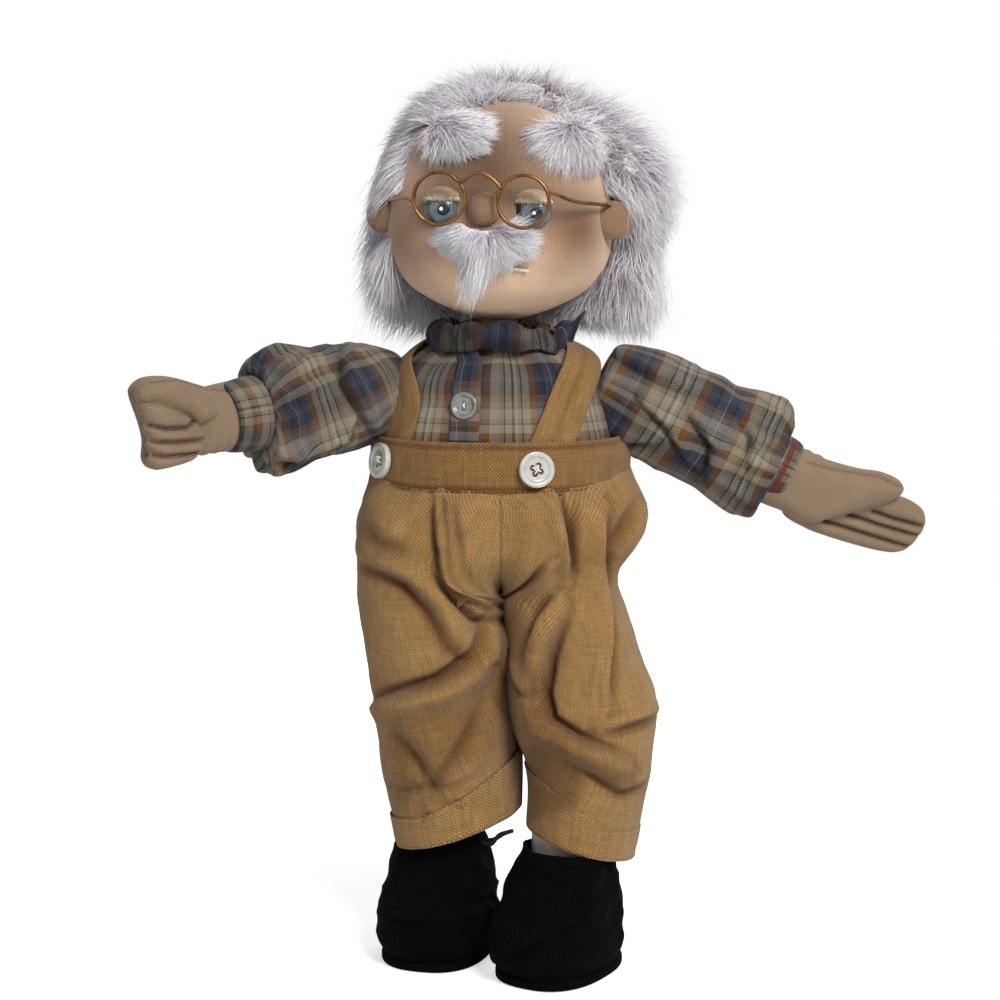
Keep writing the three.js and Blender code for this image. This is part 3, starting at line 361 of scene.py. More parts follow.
bag_voxel = 1.6 * mm
bag_bodies = {"torso": "torso"}
for side in ("right", "left"):
    bag_bodies[f"shoulder_ball_{side}"] = f"shoulder_{side}"
    bag_bodies[f"arm_{side}"] = f"arm_{side}"
    bag_bodies[f"leg_{side}"] = f"leg_{side}"
for node, body in bag_bodies.items():
    bag = stuffed_bag(f"{node}_bag", node, bag_voxel)
    dress(bag, body, cotton, "white_cloth", node)


# Shoes: each upper is a sock of black felt, creased over the instep and open round the ankle.
# It is sewn to a flat felt sole with a rounded edge.
felt, tree, shader = new_material("black_felt", Roughness=0.95, Specular_IOR_Level=0.04)
fuzz = stain(tree, 0.9 * mm, 0.75)
worn = stain(tree, 14 * mm)
felt_tone = ramp(tree, fuzz, (0.35, "010101"), (0.7, "09080a"))
paint(tree, shader, blend_colours(tree, maths(tree, "MULTIPLY", worn, 0.5), felt_tone, tint("0c0b0d")))
bump(tree, shader, fuzz, depth=0.35 * mm)


def smooth_step(value, low, high):
    """A share that rises from 0 at the low value to 1 at the high one."""
    share = np.clip((value - low) / (high - low), 0, 1)
    return share * share * (3 - 2 * share)


def profile(rows, at):
    """Smooth values between rows of a profile, each row a position and its values."""
    rows = np.array(rows, float)
    at = np.asarray(at, float)
    slopes = np.gradient(rows[:, 1:], rows[:, 0], axis=0)
    i = np.clip(np.searchsorted(rows[:, 0], at) - 1, 0, len(rows) - 2)
    span = rows[i + 1, 0] - rows[i, 0]
    t = np.clip((at - rows[i, 0]) / span, 0, 1)
    values = []
    for k in range(rows.shape[1] - 1):
        start, end = rows[i, k + 1], rows[i + 1, k + 1]
        bend = (t**3 - 2 * t**2 + t) * slopes[i, k] + (t**3 - t**2) * slopes[i + 1, k]
        values.append(start + (end - start) * (3 * t**2 - 2 * t**3) + span * bend)
    return values


def hump(value, middle, reach):
    """A rounded rise to 1 at a middle, gone beyond about twice this reach."""
    return np.exp(-(((value - middle) / reach) ** 2))


def one_long(rows):
    """Directions, each made one long."""
    return rows / np.linalg.norm(rows, axis=1)[:, None]


def oval_reach(angle, power):
    """How far an oval of unit size reaches at an angle. It grows squarer as the power rises above 2."""
    return (np.abs(np.cos(angle)) ** power + np.abs(np.sin(angle)) ** power) ** (-1 / power)


def wander(points, size, seed):
    """Smooth noise from -1 to 1 at each point, with features of this size."""
    shift = Vector((seed, 2.7 * seed, -1.3 * seed))
    return np.array([noise.noise(Vector(p) / size + shift) for p in points])


def cloth_panel(name, across, along):
    """A flat panel of unit size, this many cells across and along. Gives it and its flat places."""
    bpy.ops.mesh.primitive_grid_add(x_subdivisions=across, y_subdivisions=along, size=1, location=(0.5, 0.5, 0))
    panel = bpy.context.object
    panel.name = name
    bpy.ops.object.transform_apply(location=True, rotation=True, scale=True)
    flat = points_of(panel)
    return panel, flat[:, 0], flat[:, 1]


def sew(panel, thickness, offset=-1.0):
    """Closes a shaped panel where its edges meet and gives the cloth its thickness."""
    active(panel)
    bpy.ops.object.mode_set(mode="EDIT")
    bpy.ops.mesh.select_all(action="SELECT")
    bpy.ops.mesh.remove_doubles(threshold=0.02 * mm)
    bpy.ops.mesh.normals_make_consistent(inside=False)
    bpy.ops.object.mode_set(mode="OBJECT")
    if thickness:
        apply_modifier(panel, "SOLIDIFY", thickness=thickness, offset=offset, use_even_offset=True)


deep_crease = 5 * mm


def fold_lines(places, normals, folds):
    """How far folds lift a cloth, and how much painted shade each point gets in the creases, from 0 to 1.
    Each fold is a height, a width in pixels and a line on the photograph.
    A ridge follows the line, with a groove on its right."""
    pixels = photo_pixels(places)
    lift, crease = np.zeros(len(pixels)), np.zeros(len(pixels))
    for height, width, *line in folds:
        line = np.array(line, float)
        lengths = np.hypot(*np.diff(line, axis=0).T)
        nearest = np.full(len(pixels), np.inf)
        aside = np.zeros(len(pixels))
        along = np.zeros(len(pixels))
        for i, length in enumerate(lengths):
            step = (line[i + 1] - line[i]) / length
            away = pixels - line[i]
            share = np.clip(away @ step, 0, length)
            off = away - share[:, None] * step
            distance = np.hypot(*off.T)
            nearer = distance < nearest
            nearest = np.where(nearer, distance, nearest)
            right_of = np.sign(step[0] * off[:, 1] - step[1] * off[:, 0])
            aside = np.where(nearer, right_of * distance, aside)
            along = np.where(nearer, (lengths[:i].sum() + share) / lengths.sum(), along)
        taper = np.sin(math.pi * np.clip(along, 0.03, 0.97)) ** 0.5
        ridge = hump(aside, 0, np.where(aside < 0, 1.4 * width, 0.6 * width))
        groove = hump(aside, width, 0.4 * width)
        lift += height * taper * (ridge - 0.65 * groove)
        # Painted shade in the groove under each ridge, full for folds as high as deep_crease
        under = hump(aside, width, 0.55 * width)
        crease = np.maximum(crease, taper * under * min(1, height / deep_crease))
    seen_front = smooth_step(normals @ np.array(camera_back), 0.0, 0.35)
    return lift * seen_front, crease * seen_front


def turned(x, y, middle, angle):
    """Columns of x and y, turned about the upright through a middle."""
    c, s = math.cos(angle), math.sin(angle)
    return middle.x + x * c - y * s, middle.y + x * s + y * c


shoe_length, shoe_width, ankle_rise = 64 * mm, 49 * mm, 5 * mm
shoe_girth = 170 * mm
shoe_power = 2.5
shoe_sag = 3.4 * mm
sole_half_width, sole_half_length = 0.475 * shoe_width, 0.49 * shoe_length
sole_round = 1.3 * mm
shoe_shape = [
    [0, 0.48, 0.44, 0.46], [0.15, 0.56, 0.48, 0.51], [0.38, 0.53, 0.49, 0.51], [0.6, 0.4, 0.49, 0.48],
    [0.82, 0.26, 0.46, 0.43], [1, 0.21, 0.42, 0.37],
]
shoe_cuts = {
    "right": {
        "toe_turn": -0.3,
        "seed": 3,
        "folds": [
            (1.8 * mm, 6, (388, 915), (425, 922), (450, 915)),
            (1.6 * mm, 8, (400, 880), (440, 892), (480, 884)),
            (1.5 * mm, 7, (418, 955), (432, 930), (452, 918)),
            (1.4 * mm, 7, (500, 905), (470, 912), (452, 918)),
            (1.2 * mm, 9, (420, 858), (450, 866), (490, 858)),
        ],
    },
    "left": {
        "toe_turn": -0.55,
        "seed": 11,
        "folds": [
            (2.4 * mm, 7, (492, 962), (520, 946), (548, 932), (574, 922)),
            (1.6 * mm, 7, (574, 922), (582, 900), (572, 884)),
            (1.6 * mm, 8, (500, 936), (530, 915), (556, 908)),
            (1.6 * mm, 7, (598, 870), (582, 890), (592, 930)),
            (1.4 * mm, 8, (540, 865), (560, 880), (590, 872)),
            (1.2 * mm, 7, (540, 990), (536, 965), (548, 940)),
        ],
    },
}
for side, cut in shoe_cuts.items():
    low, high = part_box(f"shoe_upper_{side}")
    sole_low, sole_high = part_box(f"shoe_sole_{side}")
    middle = (sole_low + sole_high) / 2
    tall = high.z - low.z + ankle_rise
    upper, around, rise = cloth_panel(f"shoe_{side}", across=150, along=80)
    angle = 2 * math.pi * around
    front, rear, half = profile(shoe_shape, rise)
    reach = oval_reach(angle, shoe_power - 0.3 * rise)
    length = np.where(np.sin(angle) < 0, front, rear) * shoe_length
    shoe_x, shoe_y = turned(
        half * shoe_width * reach * np.cos(angle), length * reach * np.sin(angle), middle, cut["toe_turn"],
    )
    shoe_places = columns(shoe_x, shoe_y, low.z + tall * rise)
    move_points(upper, shoe_places)
    outward = one_long(columns(shoe_x - middle.x, shoe_y - middle.y, np.zeros(len(angle))))
    crease = np.abs(wander(shoe_places * (1, 1, 1.6), 17 * mm, cut["seed"]))
    fine = wander(shoe_places, 6 * mm, cut["seed"] + 1)
    sag = crease * shoe_sag * smooth_step(rise, 0.08, 0.3) + fine * 0.5 * mm
    lift = fold_lines(shoe_places, outward, cut["folds"])[0]
    move_points(upper, shoe_places + outward * (lift - sag)[:, None])
    map_cloth(upper, columns(around * shoe_girth, rise * tall))
    sew(upper, thickness=1.4 * mm)
    dress(upper, f"leg_{side}", felt, "black_cloth", f"shoe_upper_{side}")

    sole_thick = sole_high.z - sole_low.z
    bpy.ops.mesh.primitive_cylinder_add(vertices=72, radius=1, depth=sole_thick, location=(0, 0, 0))
    sole = bpy.context.object
    sole.name = f"sole_{side}"
    unit = points_of(sole)
    angle = np.arctan2(unit[:, 1], unit[:, 0])
    on_rim = np.hypot(unit[:, 0], unit[:, 1]) * oval_reach(angle, shoe_power)
    sole_x, sole_y = sole_half_width * on_rim * np.cos(angle), sole_half_length * on_rim * np.sin(angle)
    sole_x, sole_y = turned(sole_x, sole_y, middle, cut["toe_turn"])
    move_points(sole, columns(sole_x, sole_y, middle.z + unit[:, 2]))
    apply_modifier(sole, "BEVEL", width=sole_round, segments=4, limit_method="ANGLE")
    map_cloth(sole, points_of(sole)[:, :2])
    dress(sole, f"leg_{side}", felt, "black_cloth", f"shoe_sole_{side}")
    active(sole)
    bpy.ops.object.shade_smooth_by_angle(angle=math.radians(40))


# Laces: a black thread is wound once round each ankle, over the shoe's edge.
# Two loose ends of the right one stand up between the ankles.
twist, into, out = new_group(
    "twist",
    [("Vector", "Vector"), ("Scale", "Float"), ("Distortion", "Float")],
    [("Height", "Float")],
)
plies = add(
    twist, "TexWave",
    {"Vector": into["Vector"], "Scale": into["Scale"], "Distortion": into["Distortion"]},
    bands_direction="DIAGONAL",
)
twist.links.new(plies["Fac"], out["Height"])


def twisted_thread(name, scale, distortion, dark, light, depth, **sockets):
    """The material of a thread twisted from plies, dark in the grooves between them."""
    made, tree, shader = new_material(name, Roughness=0.8, **sockets)
    laid = {"Vector": add(tree, "TexCoord")["Object"], "Scale": scale, "Distortion": distortion}
    ply = add(tree, "Group", laid, node_tree=twist)["Height"]
    paint(tree, shader, ramp(tree, ply, (0.2, dark), (0.8, light)))
    bump(tree, shader, ply, depth)
    return made


black_thread = twisted_thread(
    "black_thread", scale=420, distortion=2, dark="050506", light="1b1b1e", depth=0.2 * mm,
)


def thread(name, points, radius, closed=False, sides=4):
    """A round thread or wire along a smooth curve through the points."""
    curve = bpy.data.curves.new(name, "CURVE")
    curve.dimensions = "3D"
    curve.bevel_depth = radius
    curve.bevel_resolution = sides
    curve.resolution_u = 6
    curve.use_fill_caps = True
    line = curve.splines.new("BEZIER")
    line.bezier_points.add(len(points) - 1)
    line.use_cyclic_u = closed
    for knot, point in zip(line.bezier_points, points):
        knot.co = point
        knot.handle_left_type = knot.handle_right_type = "AUTO"
    made = bpy.data.objects.new(name, curve)
    scene.collection.objects.link(made)
    active(made)
    bpy.ops.object.convert(target="MESH")
    return bpy.context.object


for side in ("right", "left"):
    low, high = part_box(f"shoe_lace_{side}")
    middle, half_size = (low + high) / 2, (high - low) / 2
    lace_radius = half_size.z
    knots = 20
    turns = [2 * math.pi * i / knots for i in range(knots)]
    ring = [
        middle + Vector((
            (half_size.x - lace_radius) * math.cos(t),
            (half_size.y - lace_radius) * math.sin(t),
            0.5 * mm * math.sin(3 * t),
        ))
        for t in turns
    ]
    lace = thread(f"lace_{side}", ring, 0.8 * lace_radius, closed=True)
    dress(lace, f"leg_{side}", black_thread, "black_thread", f"shoe_lace_{side}")

low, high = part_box("shoe_lace_end")
lace_foot = Vector((low.x, high.y, low.z)) + Vector((1, -1, 1)) * mm
lace_tip = Vector((high.x, low.y, high.z)) + Vector((-1, 1, -1)) * mm
lace_end_radius = 0.95 * mm
for number, (bow, slip) in enumerate(((0.3, 0), (0.1, 2))):
    rise = Vector((0, 0, bow * (lace_tip - lace_foot).length))
    ends = [lace_foot, lace_foot.lerp(lace_tip, 0.35) - 0.5 * rise, lace_foot.lerp(lace_tip, 0.7), lace_tip]
    ends = [p + Vector((slip, slip, 0)) * mm for p in ends]
    strand = thread(f"lace_end_{number + 1}", ends, lace_end_radius)
    dress(strand, "leg_right", black_thread, "black_thread")
    if number == 0:
        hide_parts("shoe_lace_end")


# Trousers: each half is one panel of coarse tan linen, pleated in at the waist and sewn along its inseam.
# The halves meet in a seam down the middle, and the cloth hangs in loose folds over the stuffed legs.
# Each hem is turned up on the outside.
def faded(tree, tone, size, worn, fresh):
    """A cloth's colour, worn in patches of this size."""
    fade = ramp(tree, stain(tree, size), (0.3, (*worn, 1)), (0.7, (*fresh, 1)))
    return blend_colours(tree, 1.0, tone, fade, "MULTIPLY")


# Painted shade: a cloth's colour is darkened towards a shade colour by its crease attribute
crease_shade, into, out = new_group(
    "crease_shade", [("Color", "Color"), ("Shade", "Color")], [("Color", "Color")],
)
in_crease = add(crease_shade, "Attribute", attribute_name="crease")["Fac"]
shaded_tone = blend_colours(crease_shade, in_crease, into["Color"], into["Shade"], "MULTIPLY")
crease_shade.links.new(shaded_tone, out["Color"])


def crease_shaded(tree, tone, shade):
    """A cloth's colour, with painted shade darkening it towards a shade colour in its creases."""
    return add(tree, "Group", {"Color": tone, "Shade": tint(shade)}, node_tree=crease_shade)["Color"]


linen, tree, shader = new_material("tan_linen", Roughness=0.95, Sheen_Weight=0.12, Specular_IOR_Level=0.2)
weave = woven(tree, 0.74 * mm)
linen_tone = ramp(tree, weave["Slub"], (0.3, "a17d49"), (0.5, "b18f5b"), (0.72, "c3a371"))
linen_under = blend_colours(tree, weave["Over"], tint("dccdb8"), (1, 1, 1, 1))
linen_tone = blend_colours(tree, 1.0, linen_tone, linen_under, "MULTIPLY")
linen_gap = ramp(tree, weave["Height"], (0.1, "6a4a1e"), (0.75, (1, 1, 1, 1)))
linen_tone = blend_colours(tree, 0.75, linen_tone, linen_gap, "MULTIPLY")
linen_tone = faded(tree, linen_tone, 45 * mm, (0.8, 0.77, 0.72), (1, 1, 1))
# The linen's colour, with painted shade in its creases towards a darker brown
paint(tree, shader, crease_shaded(tree, linen_tone, "8f704b"))
bump(tree, shader, weave["Height"], depth=0.22 * mm)


def rows_of(places, around, along):
    """The points of a shaped panel as rows along it."""
    order = np.lexsort((np.round(around, 5), np.round(along, 5)))
    return places[order].reshape(len(np.unique(np.round(along, 5))), -1, 3), order


def evened(steps, reach=14):
    """Steps along the threads of a panel, evened out over their neighbours."""
    share = np.full(2 * reach + 1, 1 / (2 * reach + 1))

    def even_line(line):
        return np.convolve(np.pad(line, reach, mode="edge"), share, "valid")

    for axis in (0, 1):
        steps = np.apply_along_axis(even_line, axis, steps)
    return steps


def thread_map(rows, order):
    """The cloth map of a shaped panel, measured along its own threads from its middle and its lower edge."""
    across = evened(np.linalg.norm(np.diff(rows, axis=1), axis=2))
    along = evened(np.linalg.norm(np.diff(rows, axis=0), axis=2))
    u = np.pad(np.cumsum(across, axis=1), ((0, 0), (1, 0)))
    v = np.pad(np.cumsum(along, axis=0), ((1, 0), (0, 0)))
    flat = np.zeros((rows.shape[0] * rows.shape[1], 2))
    flat[order] = columns((u - u[:, [u.shape[1] // 2]]).ravel(), v.ravel())
    return flat


def mark_crease_shade(piece, depths):
    """Notes how much painted shade each point of a cloth gets, from 0 to 1, in its crease attribute for its
    colour.
    """
    marks = piece.data.attributes.new("crease", "FLOAT", "POINT")
    marks.data.foreach_set("value", np.asarray(depths, np.float32))


def outward_normals(panel, middle):
    """A shaped panel's normals, turned away from its middle line."""
    normals = normals_of(panel)
    away = points_of(panel) - middle
    away[:, 2] = 0
    return normals if np.sum(normals * away) > 0 else -normals


def edge_of(spots, outline):
    """The point of an outline nearest to each spot, and which spots lie inside it."""
    outline = np.array(outline, float)
    closest, nearest = np.full(len(spots), np.inf), np.zeros((len(spots), 2))
    within = np.zeros(len(spots), bool)
    for start, end in zip(outline, np.roll(outline, -1, axis=0)):
        edge = end - start
        share = np.clip((spots - start) @ edge / max(edge @ edge, 1e-9), 0, 1)
        foot = start + share[:, None] * edge
        distance = np.linalg.norm(spots - foot, axis=1)
        nearest = np.where((distance < closest)[:, None], foot, nearest)
        closest = np.minimum(closest, distance)
        spans = (start[1] > spots[:, 1]) != (end[1] > spots[:, 1])
        rise = edge[1] if edge[1] else 1.0
        within ^= spans & (spots[:, 0] < start[0] + edge[0] * (spots[:, 1] - start[1]) / rise)
    return nearest, within


def depth_inside(spots, outline):
    """How deep each spot lies inside an outline, and less than 0 outside it."""
    nearest, within = edge_of(spots, outline)
    distance = np.linalg.norm(spots - nearest, axis=1)
    return np.where(within, distance, -distance)


def depth_on_photo(places, outline):
    """How deep places lie inside an outline on the photograph, in pixels."""
    return depth_inside(photo_pixels(places), outline)


waist_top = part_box("waistband")[0].z + 13 * mm
crotch_from, crotch_to = 184 * mm, 150 * mm
panel_width, panel_length = 176 * mm, 164 * mm
cells_around, cells_down = 190, 200
leg_depth = [[46, 29], [112, 34], [150, 38], [190, 42], [210, 41], [224, 38.5]]
trouser_halves = {
    "right": {
        "way": -1,
        "outer": [[46, 44], [80, 51], [112, 55.5], [150, 60], [180, 61.5], [197, 60], [210, 56.5], [224, 52.5]],
        "inner": [[60, 8], [90, 8], [112, 4.5], [130, 2.6], [150, 1.4], [224, 0]],
        "front_shift": 3,
        "hem": (67 * mm, 49 * mm),
        "folds": [
            (4.2 * mm, 7, (438, 496), (441, 537), (447, 572), (463, 594), (498, 610)),
            (5.0 * mm, 8, (440, 566), (456, 594), (475, 612), (497, 613)),
            (4.6 * mm, 14, (360, 549), (413, 575), (440, 606), (457, 640), (480, 655)),
            (7.5 * mm, 11, (494, 616), (488, 643), (474, 668), (440, 690), (366, 710)),
            (3.0 * mm, 9, (505, 620), (502, 655), (500, 700)),
            (3.4 * mm, 14, (399, 716), (430, 750), (452, 790)),
            (4.0 * mm, 16, (505, 690), (482, 740), (436, 806)),
            (2.6 * mm, 18, (372, 510), (392, 530), (420, 540)),
            (2.2 * mm, 12, (376, 770), (420, 778), (470, 765)),
            (1.8 * mm, 8, (462, 500), (466, 530), (470, 556)),
        ],
    },
    "left": {
        "way": 1,
        "outer": [
            [46, 58], [85, 65], [112, 68], [140, 59], [168, 51], [190, 61], [201, 62.5], [210, 58], [224, 52.5],
        ],
        "inner": [[55, 12], [84, 12], [104, 4.5], [125, 1.4], [150, 1.0], [224, 0]],
        "front_shift": -10,
        "hem": (61 * mm, 48 * mm),
        "folds": [
            (5.5 * mm, 7, (566, 584), (566, 560), (563, 535), (553, 494)),
            (6.0 * mm, 8, (550, 562), (532, 586), (508, 606)),
            (4.2 * mm, 8, (560, 596), (544, 619), (534, 648)),
            (6.5 * mm, 9, (604, 708), (603, 640), (597, 580), (598, 548), (602, 506)),
            (8.0 * mm, 11, (622, 766), (575, 746), (543, 726), (535, 696), (542, 655), (560, 606)),
            (3.6 * mm, 8, (513, 656), (522, 674), (538, 686)),
            (4.0 * mm, 11, (600, 726), (633, 715), (662, 706)),
            (4.0 * mm, 11, (575, 750), (601, 768), (621, 782), (650, 774)),
            (3.6 * mm, 10, (645, 505), (632, 528), (610, 562)),
            (2.2 * mm, 10, (585, 500), (580, 530), (578, 560)),
        ],
    },
}
pouch = [(441, 492), (447, 570), (463, 594), (500, 611), (530, 590), (556, 566), (565, 530), (556, 492)]
pouch_swell = 5.5 * mm
# Areas of painted shade below the heaviest folds, each with how dark it gets
shaded_cloth = [
    (0.4, [(385, 716), (430, 706), (480, 682), (500, 640), (512, 650), (516, 742), (440, 788), (395, 812)]),
    (0.55, [
        (520, 662), (540, 668), (545, 712), (575, 745), (640, 772), (636, 790), (590, 778), (575, 812),
        (528, 820),
    ]),
]


def shaded(places):
    """How much painted shade the trouser cloth gets, from 0 to 1, below its heaviest folds."""
    depths = [share * smooth_step(depth_on_photo(places, area), -8, 12) for share, area in shaded_cloth]
    return np.max(depths, axis=0)


seat_folds, seat_rucks = 1.6 * mm, 1.8 * mm
shift_from, shift_to = 170 * mm, 50 * mm
tuck_from, tuck_to = 16 * mm, 8 * mm
leg_middle = 28 * mm
turned_up, hem_roll = 26 * mm, 1.0 * mm
for side, cut in trouser_halves.items():
    half, around, climb = cloth_panel(f"trouser_{side}", across=cells_around, along=cells_down)
    drop = 1 - climb
    way = cut["way"]
    outward = (1 - np.cos(2 * math.pi * around)) / 2
    inner_hem, outer_hem = cut["hem"]
    height = waist_top + drop * (inner_hem + outward * (outer_hem - inner_hem) - waist_top)
    outer = profile(cut["outer"], height / mm)[0] * mm
    inner = profile(cut["inner"], height / mm)[0] * mm
    deep = profile(leg_depth, height / mm)[0] * mm
    parted = smooth_step(-height, -crotch_from, -crotch_to)
    shift = cut["front_shift"] * mm * smooth_step(-height, -shift_from, -shift_to)
    seat_x = way * outer * np.sin(math.pi * around) ** 0.85
    seat_y = -deep * np.sign(np.cos(math.pi * around)) * np.abs(np.cos(math.pi * around)) ** 0.85
    leg_x = inner + way * (way * outer - inner) * way * outward
    leg_y = shift - deep * np.sin(2 * math.pi * around)
    places = columns(
        axis_foot.x + seat_x + parted * (leg_x - seat_x),
        axis_foot.y + seat_y + parted * (leg_y - seat_y),
        height,
    )
    move_points(half, places)
    middle = np.array((axis_foot.x + way * leg_middle, axis_foot.y, 0))
    normals = outward_normals(half, middle)
    lift, crease = fold_lines(places, normals, cut["folds"])
    lift += pouch_swell * smooth_step(depth_on_photo(places, pouch), 0, 11) * (normals[:, 1] < 0)
    behind = smooth_step(normals[:, 1], -0.2, 0.5)
    lift += behind * seat_folds * np.cos(9 * math.pi * around + 14 * drop)
    lift += behind * seat_rucks * np.cos(30 * drop + 7 * np.sin(math.pi * around))
    lift += (0.7 + behind) * mm * wander(places * (1, 1, 0.55), 22 * mm, way)
    lift += 0.35 * mm * wander(places, 8 * mm, way + 5)
    at_seam = smooth_step(np.minimum(around, 1 - around), 0, 0.05)
    in_band = 1 - smooth_step(height, waist_top - tuck_from, waist_top - tuck_to)
    places = places + normals * (lift * (0.15 + 0.85 * at_seam) * in_band)[:, None]
    move_points(half, places)
    rows, order = rows_of(places, around, climb)
    leg_normals = outward_normals(half, middle)[order].reshape(rows.shape)
    map_cloth(half, thread_map(rows, order))
    # Painted shade in the creases of the folds and in the areas below the heaviest folds
    mark_crease_shade(half, np.maximum(crease, shaded(places)))
    sew(half, thickness=0.9 * mm)
    half.data.materials.append(linen)
    active(half)
    bpy.ops.object.shade_smooth()
    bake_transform(half)
    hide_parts(f"trouser_leg_{side}", "trouser_seat")

    # The hem is deepest at the inseam, and follows the leg's folds
    turn_rows = int(round(turned_up / (waist_top - (inner_hem + outer_hem) / 2) * (len(rows) - 1)))
    hem, hem_around, hem_climb = cloth_panel(f"hem_{side}", across=cells_around, along=turn_rows)
    _, hem_order = rows_of(points_of(hem), hem_around, hem_climb)
    hem_around, hem_climb = hem_around[hem_order], hem_climb[hem_order]
    turned_share = np.clip(0.62 + 0.38 * np.cos(2 * math.pi * hem_around), 0.45, 1)
    row = np.clip(hem_climb * turn_rows * turned_share, 0, turn_rows)
    column = np.round(hem_around * cells_around).astype(int)
    below = np.floor(row).astype(int)
    share = (row - below)[:, None]
    above = np.minimum(below + 1, turn_rows)
    edge = rows[below, column] * (1 - share) + rows[above, column] * share
    stand_out = 0.35 + 0.55 * (1 - np.cos(2 * math.pi * hem_around + math.pi)) / 2
    hem_places = np.zeros((len(hem_around), 3))
    hem_places[hem_order] = edge + leg_normals[below, column] * (stand_out * mm)[:, None]
    hem_places[hem_order[hem_climb < 1e-6], 2] -= hem_roll
    move_points(hem, hem_places)
    hem_flat = np.zeros((len(hem_around), 2))
    hem_flat[hem_order] = columns(0.8 * hem_around * panel_width, row / turn_rows * turned_up)
    map_cloth(hem, hem_flat)
    # Painted shade on the turned-up hem below the heaviest folds
    mark_crease_shade(hem, shaded(hem_places))
    sew(hem, thickness=0.8 * mm, offset=1.0)
    dress(hem, f"leg_{side}", linen, "linen", f"trouser_hem_{side}")


# Shirt: plaid cotton, gathered at the neck and tucked into the trousers, with a placket down the front.
# Its crumpled collar is rolled over round the neck and stands up in a point at the doll's left.
plaid_repeat = 35 * mm
warp_stripes = (
    (0.0, "c4b9a2"), (0.05, "b0a58f"), (0.1, "332e29"), (0.115, "c4b9a2"), (0.19, "5d6842"), (0.22, "d6cebd"),
    (0.26, "b3a993"), (0.3, "332e29"), (0.315, "b9af9a"), (0.4, "94622a"), (0.48, "4d5369"), (0.54, "42485c"),
    (0.58, "1d1e28"), (0.595, "585f76"), (0.68, "c4c4c0"), (0.69, "484e65"), (0.74, "3e4459"), (0.78, "1d1e28"),
    (0.795, "585f76"), (0.87, "94622a"), (0.94, "c4b9a2"),
)
weft_stripes = (
    (0.0, "c9bea8"), (0.06, "aea48e"), (0.12, "3c3730"), (0.13, "c9bea8"), (0.23, "9a652a"), (0.29, "6a4a28"),
    (0.35, "b0a691"), (0.45, "2a2d3d"), (0.53, "34384b"), (0.6, "4c5268"), (0.65, "2c3041"), (0.8, "8c5a28"),
    (0.87, "8a8578"), (0.95, "c9bea8"),
)
plaid, into, out = new_group("plaid", [("Vector", "Vector")], [("Color", "Color"), ("Height", "Float")])
tree = plaid
plaid_place = add(tree, "SeparateXYZ", {0: into["Vector"]})
stripes = []
for axis, sett in (("X", warp_stripes), ("Y", weft_stripes)):
    share = maths(tree, "FRACT", maths(tree, "DIVIDE", plaid_place[axis], plaid_repeat))
    stripes.append(ramp(tree, share, *sett, sharp=True))
thread_pitch = 0.3 * mm
diagonal = maths(tree, "ADD", plaid_place["X"], plaid_place["Y"])
twill = maths(tree, "SINE", maths(tree, "MULTIPLY", diagonal, math.pi / (2 * thread_pitch)))
warp_share = maths(tree, "ADD", maths(tree, "MULTIPLY", twill, 0.22), 0.5)
tree.links.new(blend_colours(tree, warp_share, *stripes), out["Color"])
plaid_weave = add(tree, "Group", {"Vector": into["Vector"], "Pitch": thread_pitch}, node_tree=plain_weave)
tree.links.new(plaid_weave["Height"], out["Height"])


def plaid_cotton(name):
    """The shirt's plaid cotton, laid on the cloth map. Gives its material, tree, shader and colour."""
    made, tree, shader = new_material(name, Roughness=0.92, Sheen_Weight=0.08, Specular_IOR_Level=0.2)
    cloth = add(tree, "Group", {"Vector": cloth_place(tree)}, node_tree=plaid)
    tone = faded(tree, cloth["Color"], 26 * mm, (0.34, 0.335, 0.33), (0.54, 0.53, 0.515))
    # Painted shade in the plaid's creases, towards a dark grey
    tone = crease_shaded(tree, tone, "44444e")
    paint(tree, shader, tone)
    bump(tree, shader, cloth["Height"], depth=0.14 * mm)
    return made, tree, shader, tone


shirt_cotton = plaid_cotton("shirt_plaid")[0]
torso_foot = axis_foot + Vector((0, 0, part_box("torso")[0].z))
torso_power = 2.3
shoulder_level, torso_top = 56, 83
torso_rows = [[0, 42, 27], [5, 47, 32], [28, 50, 36], [56, 45, 30], [72, 39, 21], [83, 20, 16]]


def torso_at(turn, height, stand_off):
    """Points stood off the torso, at a turn in degrees from its front towards its left. All in millimetres."""
    turn, height, stand_off = np.broadcast_arrays(np.radians(turn), height, stand_off)
    half_width, half_depth = profile(torso_rows, height)
    c, s = np.sin(turn), -np.cos(turn)
    reach = oval_reach(turn, torso_power)
    places = columns(
        (half_width + stand_off) * c * reach,
        (half_depth + stand_off) * s * reach,
        height + stand_off * smooth_step(height, shoulder_level, torso_top),
    )
    return np.array(torso_foot) + places * mm


def between(value, rise_from, rise_to, fall_from, fall_to):
    """A share that rises to 1 over one stretch of values and falls to 0 over another."""
    return smooth_step(value, rise_from, rise_to) * (1 - smooth_step(value, fall_from, fall_to))


shirt_girth = 284 * mm
shirt_low, shirt_high = 12, 82
shirt, around, rise = cloth_panel("shirt", across=190, along=80)
turn = 360 * around - 180
height = shirt_low + (shirt_high - shirt_low) * rise
even = torso_at(turn, height, 1.5)
ruck = wander(even * (1, 1, 0.6), 16 * mm, 4)
crinkle = wander(even, 6 * mm, 9)
chest_gap = hump(turn, -12, 30) * between(height, 30, 42, 62, 74)
neck_gathers = smooth_step(height, 58, 80) * np.cos(np.radians(13 * turn))
stand_off = 0.9 + 0.5 * ruck + 0.25 * crinkle + 2.2 * chest_gap * (0.6 + ruck) + 0.7 * neck_gathers
move_points(shirt, torso_at(turn, height, stand_off))
stripe_shift = 19 * mm
map_cloth(shirt, columns(around * shirt_girth, stripe_shift - height * mm))
sew(shirt, thickness=0.5 * mm)
dress(shirt, "torso", shirt_cotton, "plaid", "shirt_body")

